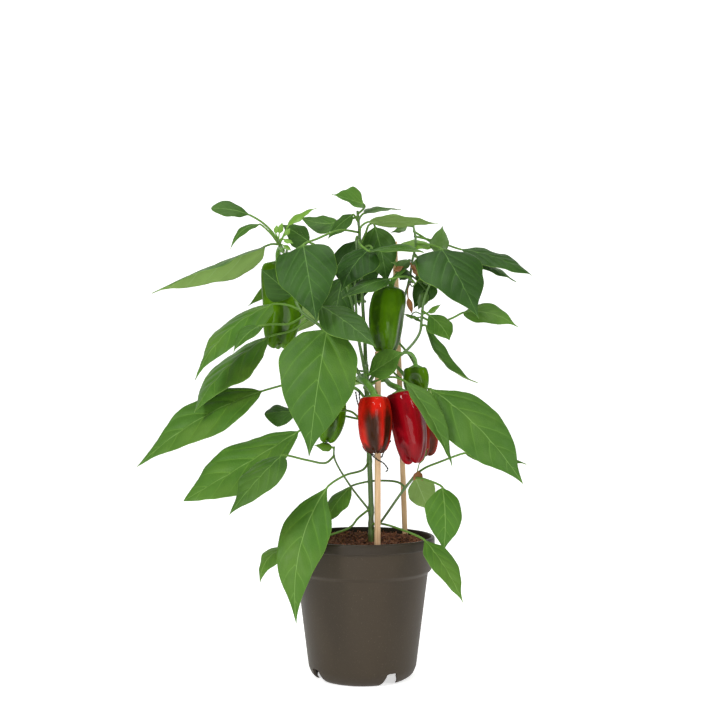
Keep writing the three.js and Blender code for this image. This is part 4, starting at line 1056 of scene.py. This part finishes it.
def calyx_skin(pepper, seed):
    """Rod: its radius r·(0.8 … 1.3) grows to the fruit, with a bell at the branch. Cap: crown +
    down·height + (across·cos a + round·sin a)·reach, where both change with the points of the star,
    |cos(n·a/2)|^1.5."""
    crown, _, down, across, around = pepper_axes(pepper)
    r, big = pepper["stalk_radius"], pepper["radius"]
    way = even_way([*pepper["stalk"], tuple(crown - 3 * down), tuple(crown + 0.5 * down)], 26)
    t = np.linspace(0, 1, len(way))
    radii = r * (0.8 + 0.5 * t) + 0.8 * np.exp(-((t / 0.06) ** 2))
    rod = tube(way, radii, 18, 0.07, tone=1)
    draw = np.random.default_rng(seed)
    points = int(draw.integers(5, 7))
    angle = circle(60)[None, :]
    star = np.abs(np.cos(points * angle / 2 + draw.uniform(0, 3))) ** 1.5
    out = np.array([0.95 * r / big, *CAP_REACH])[:, None]
    height = np.array(CAP_HEIGHT)[:, None] + 0.8 * smooth_step(out, 0.4, 0.57) * star
    reach = big * out * (1 + CAP_POINTS * (star - 0.4) * smooth_step(out, 0.2, 0.5))
    rings = placed(crown, (down, height), (across, reach * np.cos(angle)), (around, reach * np.sin(angle)))
    return join([rod, skin(rings, place=side_by_side(angle, out * big, 1))])


stem_shells += [calyx_skin(pepper, 60 + i) for i, pepper in enumerate(PEPPERS)]
print("shells of the stem:", len(stem_shells))

# %% [markdown]
# ## The skin of the peppers
#
# Pepper skin is a thin wax over soft flesh, so it is smooth and mirrors the
# lamps as sharp windows. A clear coat gives that mirror, and the flesh below
# it stays softer. Green fruit is streaked along its length, and on every fruit
# shade is painted into the creases as a deeper tone. A fruit that is turning
# keeps brown-green patches between its red ribs, and two of the three red ones
# are still in that state.


# %% Pepper materials
def pepper_material(name, base, deep, edge, ripening=None):
    """Three tones of one colour: base, a deeper one painted into the creases as shade and used in streaks,
    and a lighter one in clouds."""
    material, tree = new_material(
        name, Roughness=0.4, Specular_IOR_Level=0.02, Coat_Weight=0.26, Coat_Roughness=0.05
    )
    _, down, lobe = mark(tree, "place")
    across, round_it, _ = mark(tree, "vein")
    streaks = noise(tree, 120, 4, stretch=(1, 1, 0.22))
    clouds = noise(tree, 50)
    # Painted shade: the creases between the lobes take the deeper tone.
    tone = blend(tree, soft_edge(tree, lobe, 0.1, -0.9), base, deep)
    tone = blend(tree, soft_edge(tree, streaks, 0.45, 0.7), tone, deep, 0.45)
    tone = blend(tree, soft_edge(tree, clouds, 0.5, 0.75), tone, edge, 0.5)
    if ripening is not None:
        unripe, start, amount, places = ripening
        wander = scaled(tree, calc(tree, "ADD", streaks, clouds), 0.3, -0.3)
        ragged = calc(tree, "ADD", down, wander)
        patch = soft_edge(tree, ragged, 0.8, 0.95)
        for place, wide in places:
            # cos(a − place) is 1 in the middle of the patch and falls off to both sides.
            near = calc(tree, "ADD", scaled(tree, across, cos(place)), scaled(tree, round_it, sin(place)))
            inside = soft_edge(tree, near, cos(1.4 * wide), cos(0.5 * wide))
            below = soft_edge(tree, ragged, start, start + 0.25)
            patch = calc(tree, "MAXIMUM", patch, calc(tree, "MULTIPLY", inside, below))
        tone = blend(tree, patch, tone, blend(tree, streaks, unripe, 0x46200F), amount)
    return finish(material, tone, noise(tree, 90, 2), 0.0006, 0.35)


# Colour of the unripe patches, depth at which they start, their strength, and the angle and width of each.
SCARLET_PATCHES = (0x1A1006, 0.16, 1.0, [(2.0, 0.52), (0.72, 0.45)])
MAROON_PATCHES = (0x341E0E, 0.5, 0.8, [(2.4, 0.5), (0.9, 0.4)])
pepper_materials = {
    "green": pepper_material("green_pepper", 0x466E06, 0x2C4A04, 0x5E8A0C),
    "scarlet": pepper_material("scarlet_pepper", 0xB4180C, 0x900C04, 0xC23414, SCARLET_PATCHES),
    "crimson": pepper_material("crimson_pepper", 0x80040F, 0x5C0209, 0x9C101E),
    "maroon": pepper_material("maroon_pepper", 0x961A08, 0x5E1004, 0xB0300E, MAROON_PATCHES),
}

for i, pepper in enumerate(PEPPERS):
    finish_name = pepper["finish"]
    shape = pepper_skin(pepper, 40 + i)
    add_piece("pepper_" + pepper["name"], shape, pepper_materials[finish_name])
print("peppers:", {name: count for name, count in triangle_count.items() if name.startswith("pepper")})

# %% [markdown]
# ## The stem material
#
# The branches, the fruit stalks and the young leaves grow in one piece, so
# they share one material. The marks tell it what it paints. A point with a
# vein mark belongs to a leaf. The others are bark: green with paler and
# darker lines along it, shade painted darker into the grooves between its
# ridges, and a brownish tinge low on the main stem.


# %% The stem
def stem_material():
    """Green bark with lines along it and painted shade in the grooves between its ridges, a brownish tinge
    below 260 mm, and a fresher green on the fruit stalks."""
    material, tree = new_material("green_stem", Roughness=0.42)
    angle, _, tone = mark(tree, "place")
    _, _, tint = mark(tree, "vein")
    height = three_of(tree, object_place(tree))[2]
    lines = noise(tree, 420, stretch=(1, 1, 0.12))
    clouds = noise(tree, 70)
    ridges = calc(tree, "COSINE", scaled(tree, angle, RIDGES))
    bark = blend(tree, lines, 0x3C5C24, 0x688A44)
    # Painted shade: the grooves between the ridges are darkened.
    bark = blend(tree, soft_edge(tree, ridges, 0.0, -1.0), bark, 0x28441A, 0.4)
    old = calc(tree, "MULTIPLY", soft_edge(tree, height, 0.26, 0.15), soft_edge(tree, clouds, 0.35, 0.7))
    bark = blend(tree, old, bark, 0x4C4828)
    fruit_stalk = blend(tree, lines, 0x40701C, 0x6C9A3C)
    grown = blend(tree, soft_edge(tree, tone, 0.4, 0.9), bark, fruit_stalk)
    leafy = blend(tree, clouds, blend(tree, tint, 0x1E3C0C, 0x6C9A20), 0x567E2E, 0.3)
    dry = blend(tree, lines, 0x643414, 0xA8743F)
    leafy = blend(tree, soft_edge(tree, tint, 1.4, 1.6), leafy, dry)
    is_leaf = soft_edge(tree, tint, 0.01, 0.02)
    return finish(material, blend(tree, is_leaf, grown, leafy), lines, 0.0005, 0.5)


add_piece("stem", join(stem_shells), stem_material())
print("stem triangles:", triangle_count["stem"])

# %% [markdown]
# ## The nursery pot
#
# The pot is a thin moulded shell, so it is one profile turned round an axis:
# up the outside, over the lip and down the inside. The corners of the profile
# are rounded by cutting each one off with a short arc. The four drainage
# notches are then cut out of the bottom corner with wedges, by Blender's
# boolean modifier, because they don't follow the turning.

# %% The pot
POT_SEGMENTS = 144
# radius, height, size of the rounding at this corner
POT_PROFILE = [
    (14, 0, 0.8), (18, 14, 2), (60.7, 14, 1), (57.1, 4.3, 2), (51.8, 0, 0.8), (54, 0, 0.8), (59.3, 3.3, 3),
    (62.9, 11, 3), (77, 119, 1.2), (81.2, 123, 1.4), (82.4, 149.5, 0.7), (84.2, 149.5, 0.6), (85, 150.5, 0.6),
    (85, 159.5, 1.2), (83.5, 161, 0.8), (81, 161, 0.8), (80.6, 158, 0.8), (79.4, 122, 1), (75.2, 118, 1),
    (61.1, 18.8, 1.5), (58.1, 15.8, 1.5), (20, 15.8, 1),
]
NOTCH_ANGLES = (-58, 32, 122, 212)
NOTCH_REACH = (-68, -48)
NOTCH_SECTION = [
    (-12.5, -2), (12.5, -2), (7, 10.4), (6.6, 12.8), (4, 13.8), (-4, 13.8), (-6.6, 12.8), (-7, 10.4),
]


def rounded(profile, steps=4):
    """Each corner replaced by points of the curve (1 − s)²·before + 2s(1 − s)·corner + s²·after."""
    corner, size = np.array(profile, float)[:, :2], np.array(profile, float)[:, 2:]
    before = corner - unit(corner - np.roll(corner, 1, 0)) * size
    after = corner + unit(np.roll(corner, -1, 0) - corner) * size
    s = np.linspace(0, 1, steps)[None, :, None]
    curve = (1 - s) ** 2 * before[:, None] + 2 * s * (1 - s) * corner[:, None] + s**2 * after[:, None]
    curve[0], curve[-1] = corner[0], corner[-1]
    return curve.reshape(-1, 2)


def turned(profile, segments):
    """A profile turned round the vertical axis: (r·sin a, r·cos a, z). The skin's fans close its two
    ends."""
    r, z = profile[:, :1], profile[:, 1:]
    return side_by_side(r * np.sin(circle(segments)), r * np.cos(circle(segments)), z)


def rotated(x, y, angle):
    """x·cos a − y·sin a and x·sin a + y·cos a."""
    return x * np.cos(angle) - y * np.sin(angle), x * np.sin(angle) + y * np.cos(angle)


def notch_skin(angle):
    """A wedge of the notch's section that reaches through the corner of the pot at this angle, seen from
    above."""
    across, up = np.array(NOTCH_SECTION, float).T
    x, y = rotated(across, np.array(NOTCH_REACH, float)[:, None], radians(angle))
    return skin(side_by_side(x, y, up))


def cut_pot():
    """The turned shell with its notches cut out."""
    shell = skin(turned(rounded(POT_PROFILE), POT_SEGMENTS))
    blank = bpy.data.objects.new("pot_blank", make_mesh("pot_blank", shell))
    wedges = join([notch_skin(angle) for angle in NOTCH_ANGLES])
    cutter = bpy.data.objects.new("notches", make_mesh("notches", wedges))
    for helper in (blank, cutter):
        scene.collection.objects.link(helper)
    cut = blank.modifiers.new("notches", "BOOLEAN")
    cut.operation = "DIFFERENCE"
    cut.solver = "EXACT"
    cut.object = cutter
    mesh = bpy.data.meshes.new_from_object(blank.evaluated_get(bpy.context.evaluated_depsgraph_get()))
    mesh.name = "pot"
    for helper in (blank, cutter):
        bpy.data.objects.remove(helper)
    mesh.polygons.foreach_set("use_smooth", np.ones(len(mesh.polygons), bool))
    mesh.set_sharp_from_angle(angle=radians(32))
    return mesh


pot_mesh = cut_pot()
print("faces of the pot:", len(pot_mesh.polygons))

# %% [markdown]
# ## The plastic of the pot
#
# The pot is matt plastic with a faint cloudy tone and flow marks that run
# upwards. The lip is darker than the band under it, the foot is darker too,
# and specks of dust stick to all of it.


# %% The plastic of the pot
def pot_material():
    """Clouds and flow marks in brown, pale specks of dust, a darker foot, a dark lip, and a fine grain as a
    bump."""
    material, tree = new_material("pot_plastic", Specular_IOR_Level=0.25)
    height = three_of(tree, object_place(tree))[2]
    clouds = noise(tree, 14, 4, stretch=(1, 1, 0.35))
    specks = noise(tree, 700, 2)
    flow = noise(tree, 60, stretch=(1, 1, 0.05))
    base = blend(tree, clouds, 0x2E261A, 0x362C1F)
    base = blend(tree, flow, base, 0x3C3224, 0.25)
    base = blend(tree, soft_edge(tree, specks, 0.62, 0.72), base, 0x5A5143, 0.3)
    # Darker towards the bottom, over the lowest 20 mm of the pot.
    base = blend(tree, soft_edge(tree, height, 0.02, 0.0), base, 0x2B241C, 0.35)
    base = blend(tree, soft_edge(tree, height, 0.1492, 0.1502), base, 0x18140E, 0.45)
    shade(tree, Roughness=scaled(tree, clouds, 0.2, 0.42))
    return finish(material, base, specks, 0.0002, 0.35)


add_piece("pot", pot_mesh, pot_material())
print("pot triangles:", triangle_count["pot"])

# %% [markdown]
# ## The potting mix
#
# The mix is peat and coconut fibre. Its body is a plug with a lumpy top, and
# on the top lie some thousands of chips and fibres. Each chip has only eight
# corners, because there are so many, and all of them are worked out as one
# array: the same little block, scaled, turned and moved by its own numbers.

# %% The potting mix
SOIL_EDGE = 149
SOIL_CENTRE = 152
SOIL_BACK_RISE = 5
SOIL_RADIUS = 79.3
SOIL_WALL = [(57.7, 16.1), (60.7, 19.8), (74.8, 118), (79, 123), (79.6, 146.5)]
SOIL_COLUMNS = 120
# radius of the outermost ring, of the innermost, number of rings
SOIL_RINGS = (79.4, 0.6, 52)
CHIPS = 3600
CHIP_SPREAD = 76.5
# Middle and spread of the logarithm of a chip's length, width and thickness, and the limits of all three.
CHIP_SIZES = [(0.45, 0.5), (-0.35, 0.45), (-0.9, 0.4)]
CHIP_LIMITS = (0.25, 4.5)
CHIP_LIFT = 0.35
BLOCK_FACES = [(0, 1, 3, 2), (4, 6, 7, 5), (0, 4, 5, 1), (2, 3, 7, 6), (0, 2, 6, 4), (1, 5, 7, 3)]


def soil_height(x, y):
    """Lower at the edge by the square of the radius, higher at the back, with three sizes of lumps."""
    heap = SOIL_CENTRE - (SOIL_CENTRE - SOIL_EDGE) * (x**2 + y**2) / SOIL_RADIUS**2
    heap = heap + SOIL_BACK_RISE * smooth_step(y, 0, 50)
    large = 1.1 * np.sin(0.13 * x + 1) * np.cos(0.11 * y + 2)
    middle = 0.8 * np.sin(0.31 * x + 0.17 * y) * np.cos(0.29 * y - 0.2 * x)
    return heap + large + middle + 0.5 * np.sin(0.9 * x + 0.5 * y) * np.sin(0.8 * y - 0.4 * x)


def soil_skin():
    """The plug: rings up the inside of the pot, then rings in towards the middle at the height of the
    heap."""
    angle = circle(SOIL_COLUMNS)
    radius = np.linspace(*SOIL_RINGS)[:, None]
    x, y = radius * np.sin(angle), radius * np.cos(angle)
    top = side_by_side(x, y, soil_height(x, y))
    return skin(np.concatenate([turned(np.array(SOIL_WALL, float), SOIL_COLUMNS), top]))


def chip_skins(count, seed):
    """A block's corners, shaken, times each chip's size, turned twice, plus its place on the heap."""
    draw = np.random.default_rng(seed)
    block = np.array([(x, y, z) for x in (-1, 1) for y in (-0.8, 0.8) for z in (-0.8, 0.8)])
    corners = block * (1 + 0.35 * draw.uniform(-1, 1, (count, 8, 3)))
    size = np.stack([draw.lognormal(middle, spread, count) for middle, spread in CHIP_SIZES], -1)
    x, y, z = np.moveaxis(corners * np.clip(size, *CHIP_LIMITS)[:, None], -1, 0)
    spin, tip = draw.uniform(0, TURN, (count, 1)), draw.normal(0, 0.5, (count, 1))
    x, z = rotated(x, z, tip)
    x, y = rotated(x, y, spin)
    around, out = draw.uniform(0, TURN, (count, 1)), CHIP_SPREAD * np.sqrt(draw.uniform(0, 1, (count, 1)))
    px, py = out * np.sin(around), out * np.cos(around)
    points = side_by_side(px + x, py + y, soil_height(px, py) + z + CHIP_LIFT)
    quads = (np.arange(count)[:, None, None] * 8 + np.array(BLOCK_FACES)).reshape(-1, 4)
    tone = np.repeat(draw.uniform(0, 1, count), 8)
    marks = {"place": side_by_side(tone, tone, 1)}
    return {"points": points.reshape(-1, 3), "quads": quads, "fans": np.zeros((0, 3), int), "marks": marks}


def soil_material():
    """Brown crumbs: each chip has its own tone, from dark peat to pale reddish fibre, and is dull."""
    material, tree = new_material("potting_mix", Roughness=0.92, Specular_IOR_Level=0.3)
    tone, _, is_chip = mark(tree, "place")
    crumbs = noise(tree, 420, 5, 0.7)
    ground = blend(tree, crumbs, 0x412720, 0x7E5040)
    chip = blend(tree, crumbs, blend(tree, tone, 0x44271D, 0xBA7E5C), 0x3A251C, 0.5)
    return finish(material, blend(tree, is_chip, ground, chip), crumbs, 0.0015, 0.8)


soil = add_piece("soil", join([soil_skin(), chip_skins(CHIPS, 7)]), soil_material())
soil.data.set_sharp_from_angle(angle=radians(50))
print("potting mix:", CHIPS, "chips,", triangle_count["soil"], "triangles")

# %% [markdown]
# ## The wooden stakes
#
# The stakes are sawn from pale softwood, square in section, with a rough cut
# head. A square ring is carried along the stake, and its corners are taken
# off a little, because a sharp edge never catches the light. The grain is a
# noise that is drawn out about twenty times along the stake.

# %% The stakes
STAKE_WIDTH = 6.2
SQUARENESS = 9
HEAD_SHRINK = 0.93
# name: foot, head, turn about its length
STAKES = {
    "stake_front": ((17, -24.5, 60), (18, -30, 376), 0.25),
    "stake_back": ((53.2, 47.3, 124), (40, 54, 517), 0.05),
}


def stake_skin(foot, head, turn):
    """A rounded square, |x|^9 + |y|^9 = 1, carried from foot to head and drawn in a little at the
    head."""
    foot, head = np.array(foot, float), np.array(head, float)
    along = unit(head - foot)
    across = square_to(np.array([np.cos(turn), np.sin(turn), 0]), along)
    c, s = np.cos(circle(40)), np.sin(circle(40))
    r = (np.abs(c) ** SQUARENESS + np.abs(s) ** SQUARENESS) ** (-1 / SQUARENESS) * STAKE_WIDTH / 2
    t = np.append(np.linspace(0, 1, 30) * (1 - 0.4 / np.linalg.norm(head - foot)), 1)[:, None]
    r = r * np.where(t == 1, HEAD_SHRINK, 1) * (1 + 0.012 * np.sin(23 * t + foot[0]))
    up = np.cross(along, across)
    return skin(ring_rows(foot + (head - foot) * t, across[None], up[None], r * c, r * s))


def wood_material():
    """Pale sawn wood: long grain lines, a few darker ones, a fine fibre bump, and a damp darker foot."""
    material, tree = new_material("stake_wood", Roughness=0.72)
    height = three_of(tree, object_place(tree))[2]
    grain = noise(tree, 700, 4, stretch=(1, 1, 0.045))
    broad = noise(tree, 160, 2, stretch=(1, 1, 0.08))
    base = blend(tree, broad, 0xC8A278, 0xDCBE96)
    base = blend(tree, soft_edge(tree, grain, 0.48, 0.68), base, 0xB48A62, 0.6)
    base = blend(tree, soft_edge(tree, height, 0.158, 0.15), base, 0x8A6648, 0.5)
    return finish(material, base, grain, 0.0006, 0.5)


stake_wood = wood_material()
for name, (foot, head, turn) in STAKES.items():
    add_piece(name, stake_skin(foot, head, turn), stake_wood)
print("stakes:", list(STAKES))

# %% [markdown]
# ## The wire ties
#
# Each tie is a soft wire in a dark green plastic sleeve, doubled and twisted,
# and bent round the stem and the front stake. Two thin rods wind round the
# same path: each is the path plus a short arm that turns as it goes.

# %% The ties
STRAND_RADIUS = 0.496
STRAND_ARM = 0.48
TWIST_LENGTH = 7
WIRE_STEP = 0.9
TIES = {
    "tie_lower": [(33, -24, 273), (26, -34, 264), (23, -36, 257), (22, -20, 254), (14, 7, 255),
        (6, 8, 258), (1, 1, 264), (1, -8, 268), (6, -18, 264), (11, -34, 257), (17, -37, 252),
        (24, -39, 248), (29, -37, 241), (27, -33, 238)],
    "tie_upper": [(-8, -12, 330), (-6, -8, 318), (-3, -2, 310), (2, 8, 306), (12, 9, 303), (24, -18, 297),
        (23.5, -31, 296), (17, -34, 297), (10, -32, 302), (2, -14, 312), (-3, -8, 320), (-4, -10, 332)],
}


def twisted_pair(way):
    """Two strands: path + arm·(across·cos a + up·sin a), half a turn apart, with a full turn every 7 mm."""
    run = run_along(way)[-1]
    centres = even_way(way, int(run / WIRE_STEP))
    _, across, up = frames(centres)
    a = np.linspace(0, TURN * run / TWIST_LENGTH, len(centres))[:, None]
    arm = STRAND_ARM * (across * np.cos(a) + up * np.sin(a))
    radii = np.full(len(centres), STRAND_RADIUS)
    return join([tube(centres + arm, radii, 8), tube(centres - arm, radii, 8)])


def wire_material():
    """Dark green plastic, slightly worn in uneven patches."""
    material, tree = new_material("tie_wire", Roughness=0.4)
    worn = noise(tree, 300)
    return finish(material, blend(tree, worn, 0x0E1712, 0x1D2E24), worn, 0.0002, 0.4)


tie_wire = wire_material()
for name, way in TIES.items():
    add_piece(name, twisted_pair(way), tie_wire)
print("ties:", list(TIES))

# %% [markdown]
# ## Closing
#
# The dressed plant may be only a little larger than the measured one. Both
# boxes are written out, so that they can be compared.

# %% Closing
look_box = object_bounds()
print("triangles in all:", sum(triangle_count.values()))
for name, box in (("measured", cad_box), ("dressed", look_box)):
    print("box of the", name, "model, mm:", [[round(1000 * v, 1) for v in corner] for corner in box])
